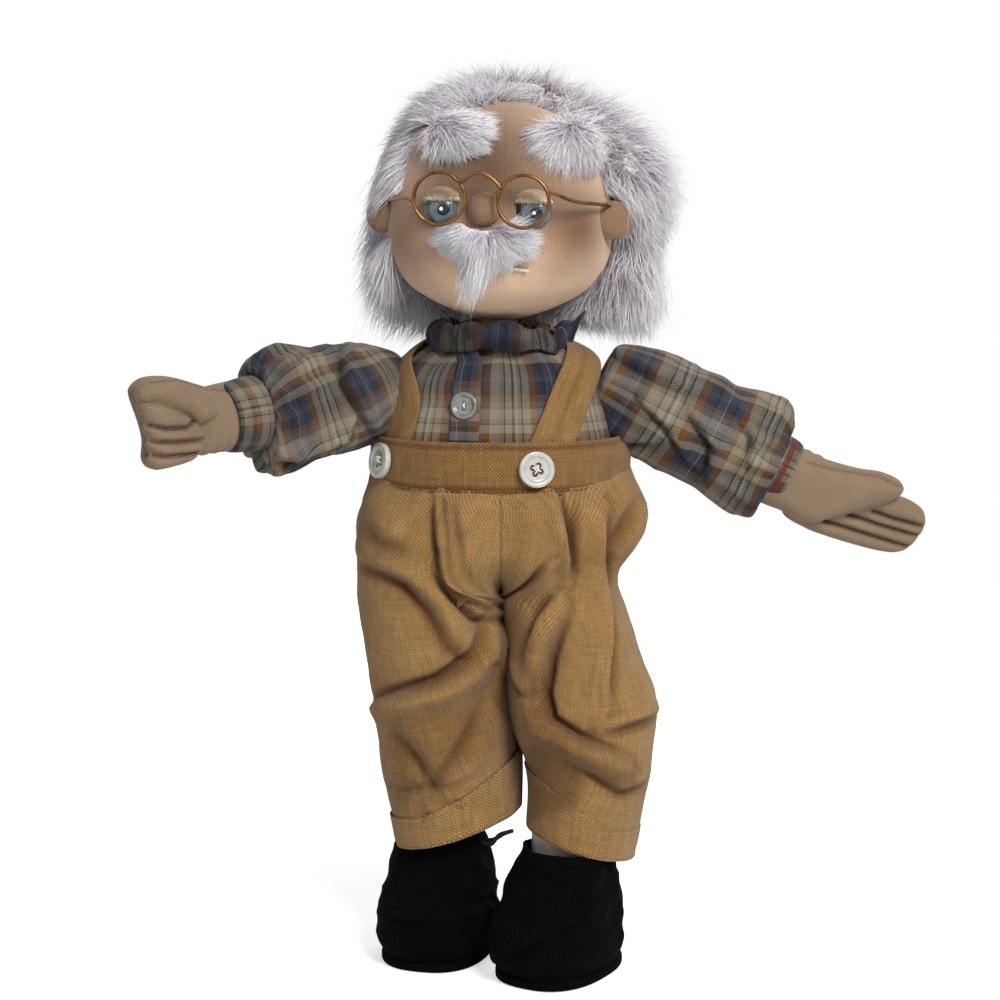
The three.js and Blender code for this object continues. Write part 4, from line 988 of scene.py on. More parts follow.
placket_turn, placket_low = -17, 24
placket_width, placket_tall = 11.5, 56
chest_radius = 46
placket, across, rise = cloth_panel("placket", across=14, along=90)
height = placket_low + placket_tall * rise
turn = placket_turn + np.degrees((across - 0.5) * placket_width / chest_radius) - 9 * smooth_step(rise, 0.85, 1)
edge_roll = np.abs(2 * across - 1) ** 4
flat = torso_at(turn, height, 2.6)
lapped = 3.2 + 0.8 * wander(flat, 12 * mm, 6) - 0.6 * edge_roll + 2.5 * smooth_step(rise, 0.9, 1)
move_points(placket, torso_at(turn, height, lapped))
placket_shift = stripe_shift + 5 * mm
map_cloth(placket, columns((0.6 + 0.32 * across) * plaid_repeat, placket_shift - height * mm))
sew(placket, thickness=0.9 * mm)
dress(placket, "torso", shirt_cotton, "plaid", "shirt_placket")

collar_seat, collar_point = 82.5, 11
collar_round = 190 * mm
collar, around, rise = cloth_panel("collar", across=220, along=22)
turn = 360 * around - 180
spread = np.radians(turn)
pointed = np.exp(-(((turn - 80) / 10) ** 4))
dipped = hump(turn, 56, 14)
curled = hump(turn, -30, 16)
roll = 2.9 + 0.5 * np.sin(5 * spread + 0.6) + 0.35 * np.sin(11 * spread) + 1.0 * curled
bend = math.pi * 1.15 * rise
out_by, up_by = roll * (1 - np.cos(bend)), 2.3 * roll * np.sin(bend)
out_by = out_by + pointed * (collar_point * rise - out_by)
up_by = up_by + pointed * (collar_point * rise - up_by) - 2.5 * dipped
half_width, half_depth = 25, 19
collar_places = columns(
    (half_width + out_by) * np.sin(spread),
    -(half_depth + out_by) * np.cos(spread),
    collar_seat + up_by + 0.8 * np.sin(4 * spread + 2),
)
collar_places = np.array(torso_foot) + collar_places * mm
crumple = wander(collar_places, 7 * mm, 2) + 0.6 * wander(collar_places, 3.5 * mm, 14)
move_points(collar, collar_places + 1.3 * mm * np.outer(crumple, (0.7, 0.7, 1)))
map_cloth(collar, columns(around * collar_round, (0.42 + 0.28 * rise) * plaid_repeat))
# Painted shade over the collar, deeper in the hollows of its crumples
mark_crease_shade(collar, np.clip(0.6 - 0.5 * crumple, 0.2, 1))
sew(collar, thickness=0.9 * mm, offset=0)
dress(collar, "torso", shirt_cotton, "plaid", "shirt_collar")


# Suspenders: two straps of the trouser linen, folded double, with a crease pressed down the middle.
# They are tucked in behind the waistband and cross at the back.
def on_torso(places, stand_off):
    """Points moved along rays from the torso's middle until they stand off it by this much."""
    middle = np.array((0, 0, 28.0))
    rays = one_long((places - np.array(torso_foot)) / mm - middle)
    near, far = np.zeros(len(rays)), np.full(len(rays), 180.0)
    for _ in range(40):
        reach = (near + far) / 2
        point = middle + rays * reach[:, None]
        level = point[:, 2] - stand_off * smooth_step(point[:, 2], shoulder_level, torso_top)
        half_width, half_depth = profile(torso_rows, level)
        fill = np.abs(point[:, 0] / (half_width + stand_off)) ** torso_power
        fill += np.abs(point[:, 1] / (half_depth + stand_off)) ** torso_power
        inside = (fill < 1) & (point[:, 2] <= torso_top + stand_off)
        near, far = np.where(inside, reach, near), np.where(inside, far, reach)
    return np.array(torso_foot) + (middle + rays * near[:, None]) * mm


def smooth_route(points, at):
    """Points along a smooth route through given ones, at shares of its length."""
    points = np.array(points, float)
    steps = np.sqrt(np.linalg.norm(np.diff(points, axis=0), axis=1))
    knots = np.concatenate(([0], np.cumsum(steps))) / steps.sum()
    return np.column_stack(profile(columns(knots, points), at))


strap_width, strap_length = 17 * mm, 190 * mm
strap_out = 2.3
for side, way, foot, over, over_other in (("right", -1, -58, (-90, 72), 0), ("left", 1, 17, (78, 76.5), 1.9)):
    stations = [(foot, 31), ((foot + way * 50) / 2, 56), over, (180, 62.4), (180 + way * 28, 31)]
    route = np.array([torso_at(turn, height, strap_out)[0] for turn, height in stations])
    strap, across, along = cloth_panel(f"strap_{side}", across=20, along=170)
    centre = smooth_route(route, along)
    further, nearer = (smooth_route(route, np.clip(along + step, 0, 1)) for step in (0.01, -0.01))
    centre = on_torso(centre, strap_out)
    outward = centre - np.array(torso_foot + Vector((0, 0, 40 * mm)))
    sideways = one_long(np.cross(one_long(further - nearer), outward))
    spread = across - 0.5
    above = over_other * between(along, 0.56, 0.64, 0.85, 0.9)
    crease = 0.9 * np.abs(spread) * 2 - 0.5 * (np.abs(spread) * 2) ** 6
    sway = 0.5 * wander(centre, 14 * mm, 20 + way)
    stood = strap_out + 0.3 + above + 0.8 * crease + sway
    move_points(strap, on_torso(centre + sideways * (spread * strap_width)[:, None], stood))
    map_cloth(strap, columns(across * strap_width, along * strap_length))
    # Painted shade over the whole strap, deeper along its middle crease
    mark_crease_shade(strap, 0.25 * (1 - smooth_step(np.abs(spread), 0, 0.12)) + 0.25)
    sew(strap, thickness=1.3 * mm, offset=0)
    dress(strap, "torso", linen, "linen", f"suspender_{side}")


# Waistband: a doubled strip of linen, stitched along its lower edge, over the feet of the suspenders.
# It closes the top of the trousers and carries two buttons.
band_low, band_tall = 22, 21
band_girth = 318 * mm
band_stand = 6.2


def at_front(turn):
    """1 at the doll's front, falling to 0 behind its sides."""
    return smooth_step(np.cos(np.radians(turn)), -0.2, 0.9)


def band_edge(turn):
    """The height of the band's lower edge, which dips at the front."""
    return band_low + 7 * (1 - at_front(turn)) - 1.5 * at_front(turn)


band, around, rise = cloth_panel("waist_band", across=220, along=24)
turn = 360 * around - 180
edge_roll = np.abs(2 * rise - 1) ** 6
low_edge = band_edge(turn)
top_edge = band_low + band_tall - 0.5 * at_front(turn)
height = low_edge + (top_edge - low_edge) * rise
even = torso_at(turn, height, 6)
ruck = 0.5 * wander(even * (1, 1, 2), 20 * mm, 3) + 0.25 * wander(even, 5 * mm, 8)
stitched = hump(rise, 0.12, 0.05) + hump(rise, 0.9, 0.04)
move_points(band, torso_at(turn, height, band_stand - 1.2 * edge_roll + ruck - 0.45 * stitched))
map_cloth(band, columns(around * band_girth, rise * band_tall * mm))
# Painted shade over the whole band, deeper along its rows of stitches
mark_crease_shade(band, 0.45 + 0.4 * np.minimum(stitched, 1))
sew(band, thickness=1.6 * mm)
dress(band, "torso", linen, "linen", "waistband")


def unit_ball(name, segments, rings):
    """A ball of unit size, to be shaped. Gives it and its points."""
    bpy.ops.mesh.primitive_uv_sphere_add(segments=segments, ring_count=rings, radius=1, location=(0, 0, 0))
    made = bpy.context.object
    made.name = name
    return made, points_of(made)


# One rounded stitch is copied along the band's lower edge
tan_thread = new_material("tan_thread", Roughness=0.85, Base_Color=tint("6b4a22"))[0]
stitch_pitch, stitch_length, stitch_radius = 2.7 * mm, 1.9 * mm, 0.32 * mm
seam_rise, seam_stand = 2.2, 6.3
band_turns = np.linspace(-52, 38, 120)
seam = torso_at(band_turns, band_edge(band_turns) + seam_rise, seam_stand)
seam_foot, seam_top = (torso_at(band_turns, band_low + seam_rise, seam_stand + out_by) for out_by in (0, 1))
seam_normals = one_long(seam_top - seam_foot)
stitch, unit = unit_ball("stitch", segments=8, rings=6)
stitch_faces = [list(face.vertices) for face in stitch.data.polygons]
bpy.data.objects.remove(stitch)
steps = np.linalg.norm(np.diff(seam, axis=0), axis=1)
along = np.concatenate(([0], np.cumsum(steps)))
stitch_points, faces = [], []
for mark in np.arange(stitch_pitch / 2, along[-1], stitch_pitch):
    i = min(np.searchsorted(along, mark) - 1, len(steps) - 1)
    ahead = (seam[i + 1] - seam[i]) / steps[i]
    aside = np.cross(seam_normals[i], ahead)
    shape = np.outer(unit[:, 0] * stitch_length / 2, ahead) + np.outer(unit[:, 1] * stitch_radius, aside)
    shape += np.outer((unit[:, 2] - 0.35 * unit[:, 0] ** 2) * stitch_radius, seam_normals[i])
    faces += [[corner + len(stitch_points) * len(unit) for corner in face] for face in stitch_faces]
    stitch_points.append(seam[i] + ahead * (mark - along[i]) + shape)
row_mesh = bpy.data.meshes.new("waistband_stitches")
row_mesh.from_pydata(np.concatenate(stitch_points), [], faces)
stitch_row = bpy.data.objects.new("waistband_stitches", row_mesh)
scene.collection.objects.link(stitch_row)
dress(stitch_row, "torso", tan_thread, "linen")


# Buttons: two white four-hole buttons on the waistband and a smaller grey two-hole one on the placket.
# Each is a moulded disc with a raised rim, sewn on with white thread.
def moulded_plastic(name, size, dark, light, **sockets):
    """The material of a moulded plastic, clouded in patches of this size and faintly uneven."""
    made, tree, shader = new_material(name, **sockets)
    paint(tree, shader, ramp(tree, stain(tree, size), (0.3, dark), (0.75, light)))
    bump(tree, shader, stain(tree, 3 * mm), depth=0.1 * mm)
    return made


white_plastic = moulded_plastic(
    "white_plastic", 5 * mm, "a19e97", "bfbcb4", Roughness=0.28, Coat_Weight=0.4, Subsurface_Weight=0.1,
)
grey_plastic = moulded_plastic("grey_plastic", 4 * mm, "545552", "7b7c78", Roughness=0.22, Coat_Weight=0.6)
white_thread = twisted_thread(
    "white_thread", scale=500, distortion=1.5, dark="b9b2a5", light="e8e3d8", depth=0.12 * mm, Sheen_Weight=0.2,
)
button_thick, button_dish, button_round = 2.6 * mm, 0.9 * mm, 0.55 * mm
button_thread = 0.42 * mm
hole_shares = {2: (0.07, 0.1), 4: (0.085, 0.125)}
hole_turns = {2: 0, 4: math.pi / 9}
hole_pairs = {2: [(0, 1)], 4: [(0, 2), (1, 3), (0, 1)]}


def sewn_button(name, turn, height, seat, diameter, holes, finish, slot, node):
    """A button on the torso's clothes, standing on them at this distance from the torso."""
    radius, seat_middle = diameter / 2, (0, 0, button_thick / 2)
    bpy.ops.mesh.primitive_cylinder_add(vertices=64, radius=radius, depth=button_thick, location=seat_middle)
    made = bpy.context.object
    made.name = name
    bpy.ops.object.transform_apply(location=True)
    bpy.ops.object.mode_set(mode="EDIT")
    bpy.ops.mesh.select_mode(type="FACE")
    bpy.ops.mesh.select_all(action="DESELECT")
    bpy.ops.object.mode_set(mode="OBJECT")
    for face in made.data.polygons:
        face.select = face.normal.z > 0.9
    bpy.ops.object.mode_set(mode="EDIT")
    bpy.ops.mesh.inset(thickness=0.24 * radius)
    bpy.ops.mesh.inset(thickness=0.1 * radius)
    bpy.ops.transform.translate(value=(0, 0, -button_dish))
    bpy.ops.object.mode_set(mode="OBJECT")
    apply_modifier(made, "BEVEL", width=button_round, segments=4, limit_method="ANGLE")
    hole_radius, hole_spread = (share * diameter for share in hole_shares[holes])
    hole_places = []
    for i in range(holes):
        angle = 2 * math.pi * (i + 0.5) / holes + hole_turns[holes]
        spot = Vector((hole_spread * math.cos(angle), hole_spread * math.sin(angle), 0))
        hole_places.append(spot)
        bpy.ops.mesh.primitive_cylinder_add(
            vertices=20, radius=hole_radius, depth=4 * button_thick, location=spot,
        )
        drill = bpy.context.object
        apply_modifier(made, "BOOLEAN", operation="DIFFERENCE", object=drill, solver="EXACT")
        bpy.data.objects.remove(drill)
    foot = Vector(torso_at(turn, height, seat)[0])
    facing = foot - Vector(torso_at(turn, height, seat - 1)[0])
    facing = Vector((facing.x, facing.y, 0.15 * facing.length)).normalized()
    stand = Matrix.Translation(foot) @ facing.to_track_quat("Z", "Y").to_matrix().to_4x4()
    made.data.transform(stand)
    map_cloth(made, points_of(made)[:, :2])
    dress(made, "torso", finish, slot, node)
    active(made)
    bpy.ops.object.shade_smooth_by_angle(angle=math.radians(35))
    for number, (a, b) in enumerate(hole_pairs[holes]):
        low, high = Vector((0, 0, 0.3 * mm)), Vector((0, 0, 1.85 * mm + 0.25 * mm * number))
        knots = [hole_places[a] + low, hole_places[a].lerp(hole_places[b], 0.15) + high]
        knots += [hole_places[a].lerp(hole_places[b], 0.85) + high, hole_places[b] + low]
        loop = thread(f"{name}_thread_{number + 1}", [stand @ k for k in knots], button_thread)
        dress(loop, "torso", white_thread, "white_thread")


band_button, shirt_button = 15 * mm, 11.4 * mm
for side, turn, height in (("right", -58, 33), ("left", 15, 31.5)):
    sewn_button(
        f"band_button_{side}", turn, height, band_stand, band_button, holes=4,
        finish=white_plastic, slot="white_plastic", node=f"waistband_button_{side}",
    )
sewn_button(
    "placket_button", placket_turn, height=57, seat=3.6, diameter=shirt_button, holes=2,
    finish=grey_plastic, slot="grey_plastic", node="shirt_button",
)


# Sleeves: wide tubes of the shirt's plaid, set in at the shoulder and gathered into a narrow cuff.
# The cloth blouses over the cuff and hangs in a loose bag below the arm.
arm_ways = {"right": -1, "left": 1}
arm_stands = {
    "right": Matrix.Translation(joint_at["shoulder_right_raise"])
    @ Matrix.Rotation(math.radians(-6), 4, "Y")
    @ Matrix.Rotation(math.radians(38), 4, "Z"),
    "left": Matrix.Translation(joint_at["shoulder_left_raise"]) @ Matrix.Rotation(math.radians(24.5), 4, "Y"),
}


def placed(points, stand):
    """Points turned and moved as a stand says."""
    stand = np.array(stand)
    return points @ stand[:3, :3].T + stand[:3, 3]


def on_arm(side, along, back, up):
    """Points of an arm, given in millimetres along it, to its back and upwards."""
    return placed(columns(arm_ways[side] * along, back, up) * mm, arm_stands[side])


sleeve_cuts = {
    "right": [
        [0, -12.5, 1, 1], [0.04, -12, 9, 10], [0.09, -10, 14, 15.5], [0.15, -4, 17, 18.5],
        [0.22, 2, 19, 20.5], [0.32, 8, 21, 21.5], [0.45, 20, 22, 22.5], [0.62, 36, 21, 23],
        [0.78, 50, 19.5, 22], [0.87, 57, 18, 20.5], [0.93, 60.5, 16.5, 18], [0.97, 61, 15.4, 16],
        [1, 60, 14.6, 14.6],
    ],
    "left": [
        [0, -12.5, 1, 1], [0.04, -12, 9, 11], [0.09, -10, 14, 17], [0.15, -4, 17, 20],
        [0.22, 2, 19, 21.5], [0.32, 8, 21, 22], [0.45, 22, 22, 22.5], [0.62, 42, 21.5, 22],
        [0.78, 58, 20.5, 21.5], [0.87, 66, 19, 20.5], [0.93, 70.5, 17.5, 18.5], [0.97, 71.5, 16, 16.3],
        [1, 69.5, 14.6, 14.6],
    ],
}
plaid_slant = {"right": math.radians(-15), "left": math.radians(-3)}
sleeve_folds = {
    "right": (
        (3.4 * mm, 7, (345, 344), (349, 385), (378, 432)), (3.0 * mm, 6, (262, 452), (296, 458), (330, 444)),
        (2.4 * mm, 6, (352, 346), (304, 362), (264, 392)), (2.6 * mm, 6, (322, 452), (344, 440), (356, 412)),
    ),
    "left": (
        (3.6 * mm, 7, (692, 412), (716, 444), (710, 478)), (3.0 * mm, 6, (640, 398), (668, 424), (692, 462)),
        (2.4 * mm, 6, (606, 346), (650, 372), (696, 392)), (2.8 * mm, 6, (598, 424), (626, 438), (656, 440)),
        (2.4 * mm, 6, (742, 414), (756, 440), (750, 470)),
    ),
}
sleeve_girth, sleeve_length = 156 * mm, 92 * mm
for side, seed, faces_out in (("right", 31, -1), ("left", 47, 1)):
    sleeve, around, along = cloth_panel(f"sleeve_{side}_cloth", across=170, along=120)
    angle = 2 * math.pi * around
    reach, thick, wide = profile(sleeve_cuts[side], along)
    even = on_arm(side, reach, thick * np.cos(angle), wide * np.sin(angle))
    gathers = np.cos(11 * angle + 9 * along) + 0.6 * np.cos(17 * angle - 5 * along)
    gathers *= smooth_step(along, 0.55, 0.9)
    slack = wander(even, 17 * mm, seed) + 0.5 * wander(even, 8 * mm, seed + 1)
    creases = 1 - 2 * np.abs(wander(even * (0.6, 1, 1.3), 15 * mm, seed + 2))
    folds = between(along, 0.2, 0.4, 0.93, 1) * (1.5 * slack + 1.5 * creases)
    folds += 1.3 * gathers * (1 - 0.8 * smooth_step(along, 0.94, 1))
    below = np.clip(-np.sin(angle), 0, 1)
    sag = 6 * below**2 * between(along, 0.5, 0.84, 0.9, 0.99)
    peak = 2.5 * np.clip(np.sin(angle), 0, 1) ** 4 * between(along, 0.6, 0.85, 0.88, 0.97)
    grown = np.maximum(folds, -3)
    places = on_arm(side, reach, (thick + grown) * np.cos(angle), (wide + grown + peak) * np.sin(angle))
    places[:, 2] -= sag * mm
    move_points(sleeve, places)
    outward = faces_out * normals_of(sleeve)
    lift, fold_shade = fold_lines(places, outward, sleeve_folds[side])
    off_cuff = 1 - smooth_step(along, 0.82, 0.92)
    move_points(sleeve, places + outward * (lift * off_cuff)[:, None])
    # Painted shade in the creases of the sleeve's folds, none on the cuff
    mark_crease_shade(sleeve, fold_shade * off_cuff)
    spun, length = around * sleeve_girth, along * sleeve_length
    turn_c, turn_s = math.cos(plaid_slant[side]), math.sin(plaid_slant[side])
    map_cloth(sleeve, columns(length * turn_c - spun * turn_s, length * turn_s + spun * turn_c))
    sew(sleeve, thickness=0.6 * mm)
    dress(sleeve, f"arm_{side}", shirt_cotton, "plaid", f"sleeve_{side}")


# Cuffs: a doubled band of plaid at each wrist, its edge stitched down.
# The left one is cut on a maroon stripe.
maroon_cotton, tree, shader, tone = plaid_cotton("cuff_plaid")
stripe_middle, stripe_half = 8.5 * mm, 1.5 * mm
cuff_height = add(tree, "SeparateXYZ", {0: cloth_place(tree)})["Y"]
maroon_stripe = maths(tree, "COMPARE", cuff_height, stripe_middle)
maroon_stripe.node.inputs[2].default_value = stripe_half
maroon_share = maths(tree, "MULTIPLY", maroon_stripe, 0.8)
paint(tree, shader, blend_colours(tree, maroon_share, tone, tint("5a2028")))
cuff_girth, cuff_radius = 92 * mm, 15.2
for side, cotton_print, cuff_start, cuff_end, cuff_drop in (
    ("right", shirt_cotton, 59.5, 77, 0.3), ("left", maroon_cotton, 66, 79.5, 3.0),
):
    cuff_length = cuff_end - cuff_start
    cuff, around, along = cloth_panel(f"cuff_{side}_band", across=120, along=20)
    angle = 2 * math.pi * around
    roll = np.abs(2 * along - 1) ** 6
    size = cuff_radius - 1.2 * along - 0.7 * roll
    reach = cuff_start + cuff_length * along + 0.8 * np.sin(angle + 1)
    even = on_arm(side, reach, size * np.cos(angle), size * np.sin(angle))
    size = size + 0.45 * wander(even, 9 * mm, 60) + 0.25 * wander(even, 4 * mm, 61)
    move_points(cuff, on_arm(side, reach, size * np.cos(angle), 1.03 * size * np.sin(angle) - cuff_drop))
    map_cloth(cuff, columns(around * cuff_girth, along * cuff_length * mm))
    sew(cuff, thickness=1.0 * mm)
    dress(cuff, f"arm_{side}", cotton_print, "plaid", f"cuff_{side}")


# Hands: stuffed bags of fine tan knit. The right one is a fist with its fingers rolled in.
# The left one is an open mitt, with lines of stitches drawn tight between its fingers.
knit_stitch, into, out = new_group(
    "knit_stitch", [("Vector", "Vector"), ("Pitch", "Float")], [("Height", "Float")],
)
tree = knit_stitch
place = add(tree, "SeparateXYZ", {0: into["Vector"]})
wale = maths(tree, "MULTIPLY", maths(tree, "DIVIDE", place["X"], into["Pitch"]), math.pi)
wale_ridge = maths(tree, "ABSOLUTE", maths(tree, "SINE", wale))
slope = maths(tree, "MULTIPLY", wale_ridge, 0.9)
course_pitch = 0.8
course = maths(tree, "DIVIDE", place["Y"], into["Pitch"])
course = maths(tree, "MULTIPLY", course, 2 * math.pi / course_pitch)
loop_wave = maths(tree, "ADD", course, maths(tree, "MULTIPLY", slope, 2.2))
loops = maths(tree, "MULTIPLY", maths(tree, "SINE", loop_wave), 0.22)
loops = maths(tree, "ADD", loops, 0.78)
rounded_ridge = maths(tree, "POWER", wale_ridge, 0.6)
tree.links.new(maths(tree, "MULTIPLY", rounded_ridge, loops), out["Height"])


def knit_cloth(name, pitch, shadow, middle, light):
    """Fine tan knit on the cloth map. Gives its material, tree, shader and colour."""
    made, tree, shader = new_material(name, Roughness=0.9, Sheen_Weight=0.15, Specular_IOR_Level=0.2)
    stitches = add(tree, "Group", {"Vector": cloth_place(tree), "Pitch": pitch}, node_tree=knit_stitch)
    tone = ramp(tree, stitches["Height"], (0.05, shadow), (0.5, middle), (0.95, light))
    tone = faded(tree, tone, 22 * mm, (0.86, 0.83, 0.8), (1, 1, 1))
    # Painted shade in the knit's creases, towards a darker brown
    tone = crease_shaded(tree, tone, "7b6957")
    paint(tree, shader, tone)
    bump(tree, shader, stitches["Height"], depth=0.22 * mm)
    return made, tree, shader, tone


hand_knit = knit_cloth("hand_knit", 0.75 * mm, "614f3c", "86715a", "98836b")[0]


def wrist_lump(side, reach, size, lift):
    """One stuffed oval of a wrist, in the arm's frame."""
    lump = unit_ball("wrist_lump", segments=40, rings=28)[0]
    place = Matrix.Translation(Vector((arm_ways[side] * reach, 0, lift)) * mm)
    lump.data.transform(arm_stands[side] @ (place @ Matrix.Diagonal((*[s * mm for s in size], 1))))
    return lump


def line_distance(spots, line):
    """How far spots lie from an open line."""
    return -depth_inside(spots, line + line[::-1])


def joined(pieces):
    """Pieces joined into the first of them."""
    active(pieces[0])
    for piece in pieces[1:]:
        piece.select_set(True)
    bpy.ops.object.join()
    return pieces[0]


def sewn_pad(side, outline, middle, thick, rim, lines):
    """A piece of a hand cut twice to an outline, along and above the arm in millimetres, sewn and stuffed.
    It swells to its thickness within the rim, and lines of stitches draw its front in."""
    outline = smooth_route(outline + outline[:1], np.linspace(0, 1, 120))[:-1]
    low, high = outline.min(axis=0), outline.max(axis=0)
    faces = []
    for way in (-1, 1):
        face, across, up = cloth_panel("pad_face", across=90, along=80)
        spots = low + (high - low) * columns(across, up)
        nearest, within = edge_of(spots, outline)
        depth = np.linalg.norm(spots - nearest, axis=1) * within
        spots = np.where(within[:, None], spots, nearest)
        swell = thick * np.sqrt(1 - (1 - np.clip(depth / rim, 0, 1)) ** 2)
        for line in lines:
            rounded = np.clip(line_distance(spots, line) / 3.4, 0, 1)
            swell *= 0.55 + 0.45 * np.sin(math.pi / 2 * rounded)
        move_points(face, on_arm(side, spots[:, 0], middle + way * swell, spots[:, 1]))
        faces.append(face)
    pad = joined(faces)
    sew(pad, thickness=0)
    return pad


hand_cuts = {
    "right": {
        "wrist_drop": 0.3,
        "fingers": [
            [(121, 4.6), (110, 0.6), (101, -0.2), (97, 1.5)],
            [(120, -1.6), (114, -4.1), (106, -5.4), (92, -6.4)],
            [(119.6, -7.8), (111.4, -10.2), (101.4, -11.1), (95, -11.5)],
        ],
        "seams": [
            [(115.3, 20), (103, 19.4), (91.4, 14.4), (75, 10.9)],
            [
                (121, 12.8), (111.7, 11), (105.3, 8), (98.9, 4.3), (95.4, 0.3), (92.4, -2.6), (91.6, -6),
                (94.6, -12.6),
            ],
        ],
        "pads": [
            (0, 9, 12, [
                (68, -13), (68, 12.5), (87.6, 14.3), (100.7, 20.1), (107.4, 21.5), (113, 20.9), (117, 17.8),
                (117.4, 15), (114.9, 4), (114, -3.4), (115.3, -11.7), (113, -15.2), (105.8, -15.7),
                (91.4, -13), (75, -14),
            ]),
            (-8, 6.0, 5, [
                (119, 13), (118.6, 8.5), (117.2, 4.4), (118, 1.3), (116.2, -1.9), (117.8, -5), (116, -8),
                (118.4, -11.4), (115.9, -14.8), (108.6, -15.2), (95.3, -12.7), (92, -6), (92.4, -1.8),
                (95.2, 1.1), (105, 9.4), (111.5, 12.3),
            ]),
            (-9.5, 6.5, 6, [
                (86, 13.4), (103.5, 20.5), (110.1, 21.9), (115.7, 21.3), (119.7, 18.3), (120.1, 15.5),
                (119.1, 13), (111.7, 11.2), (105.3, 8.2), (98.9, 4.5), (95.4, 0.5), (85, 3),
            ]),
        ],
    },
    "left": {
        "wrist_drop": 3.4,
        "fingers": [
            [(119, -2.3), (127.3, -1.8), (144, 1)],
            [(110, -7.9), (123.9, -6.7), (144, -3.8)],
            [(102, -14.8), (117.5, -13), (141, -10)],
        ],
        "seams": [
            [(82.6, 5.6), (94, 7.5), (107.3, 11), (113.7, 12.8), (124, 12.6)],
        ],
        "pads": [
            (-3, 8.6, 9, [
                (68, 10.4), (81.6, 9.3), (92.4, 10), (105.6, 12.2), (114, 14.6), (122.5, 14.7), (126.4, 12.2),
                (126.5, 9.4), (124, 5.5), (116.3, -1.9), (105.3, -10.8), (95.6, -18), (82.6, -18.4),
                (68, -17.2),
            ]),
            (3, 5.8, 5, [
                (86, -6), (123.5, 6.8), (128, 8.3), (134.2, 8.3), (139.3, 6.8), (142.2, 3.3), (143.1, 0),
                (142.5, -4.7), (140.6, -10.8), (136.7, -14.6), (130.2, -17), (117.8, -19.3), (106, -20.8),
                (96, -21.4), (84, -19),
            ]),
        ],
    },
}
wrist_start, wrist_step = 68, 5
finger_rim = 6
hand_voxel = 0.75 * mm
for side, cut in hand_cuts.items():
    pads = []
    for k in range(5):
        lump_size = (7, 13.2 - 0.7 * k, 13.6)
        pads.append(wrist_lump(side, wrist_start + wrist_step * k, lump_size, -cut["wrist_drop"]))
    for middle, thick, rim, outline in cut["pads"]:
        pads.append(sewn_pad(side, outline, middle, thick, rim, cut["fingers"] if rim < finger_rim else []))
    hand = joined(pads)
    hand.name = f"hand_{side}_bag"
    apply_modifier(hand, "REMESH", mode="VOXEL", voxel_size=hand_voxel)
    apply_modifier(hand, "SMOOTH", factor=0.5, iterations=6)
    places, normals = points_of(hand), normals_of(hand)
    to_arm = np.linalg.inv(np.array(arm_stands[side]))
    local = placed(places, to_arm) / mm
    spots = columns(np.abs(local[:, 0]), local[:, 2])
    facing = smooth_step(-(normals @ to_arm[:3, :3].T)[:, 1], 0.05, 0.5)
    drawn = np.zeros(len(spots))
    for depth, width, lines in ((1.1, 0.72, cut["fingers"]), (0.5, 0.6, cut["seams"])):
        for line in lines:
            drawn = np.maximum(drawn, depth * hump(line_distance(spots, line), 0, width))
    move_points(hand, places - normals * (drawn * facing * mm)[:, None])
    map_cloth(hand, columns(local[:, 2], local[:, 0]) * mm)
    # Painted shade along the lines of stitches drawn into the front of the hand
    mark_crease_shade(hand, np.clip(0.75 * drawn * facing, 0, 1))
    dress(hand, f"arm_{side}", hand_knit, "knit", f"hand_{side}")


# Head: a stuffed bag of tan knit with full cheeks, its stitches running up and down, on a stuffed neck.
# Powder colour is rubbed on over the brow, the eyes and the cheeks, partly the doll's own and partly painted
# shade.
# The nose and the ears are small stuffed pads of a darker knit, sewn on.
head_middle = joint_at["neck_nod"] + Vector((0, -2, 60)) * mm
head_stand = (
    Matrix.Translation(head_middle)
    @ Matrix.Rotation(math.radians(-8), 4, "Z")
    @ Matrix.Rotation(math.radians(1.5), 4, "Y")
)
chin_drop, crown_rise = 43.5, 47.5
head_half_width, head_half_depth = 47.5, 45
head_rows = [
    [-1, 0.2], [-0.95, 0.34], [-0.78, 0.68], [-0.5, 0.93], [-0.22, 1], [0.05, 0.985], [0.3, 0.94], [0.55, 0.83],
    [0.75, 0.68], [0.9, 0.46], [1, 0.16],
]


def on_head(local):
    """Points of the head's own frame, in millimetres, placed in the doll."""
    return placed(np.asarray(local, float) * mm, head_stand)


def in_head(places):
    """Places in the doll, in millimetres of the head's own frame."""
    return placed(np.asarray(places), np.linalg.inv(np.array(head_stand))) / mm


def head_size(level):
    """The head's half width and half depth at a level from its middle."""
    level = np.asarray(level, float)
    share = profile(head_rows, np.clip(level / np.where(level < 0, chin_drop, crown_rise), -1, 1))[0]
    return share * head_half_width, share * head_half_depth


def on_face(x, level, stand_off):
    """Places stood off the front of the head, in its own frame."""
    x, level = np.broadcast_arrays(np.asarray(x, float), level)
    half_width, half_depth = head_size(level)
    skin = columns(x, -half_depth * np.sqrt(np.clip(1 - (x / half_width) ** 2, 0, 1)), level)
    return skin + one_long(skin) * stand_off


head_knit, tree, shader, tone = knit_cloth("head_knit", 1.05 * mm, "bb9a7c", "e6c3a4", "f8d8ba")
place = add(tree, "TexCoord")["Object"]


def powder_and_shade(tone, x, level, reach, strength, colour):
    """Rubs powder and painted shade on the face round a place, fading out by this reach."""
    middle = on_head(on_face(x, level, 0))[0]
    away = add(tree, "VectorMath", {0: place, 1: middle}, operation="DISTANCE")["Value"]
    fall = {"Value": away, "From Max": reach * mm, "To Min": strength, "To Max": 0}
    cover = add(tree, "MapRange", fall, interpolation_type="SMOOTHSTEP")[0]
    return blend_colours(tree, cover, tone, tint(colour), "MULTIPLY")


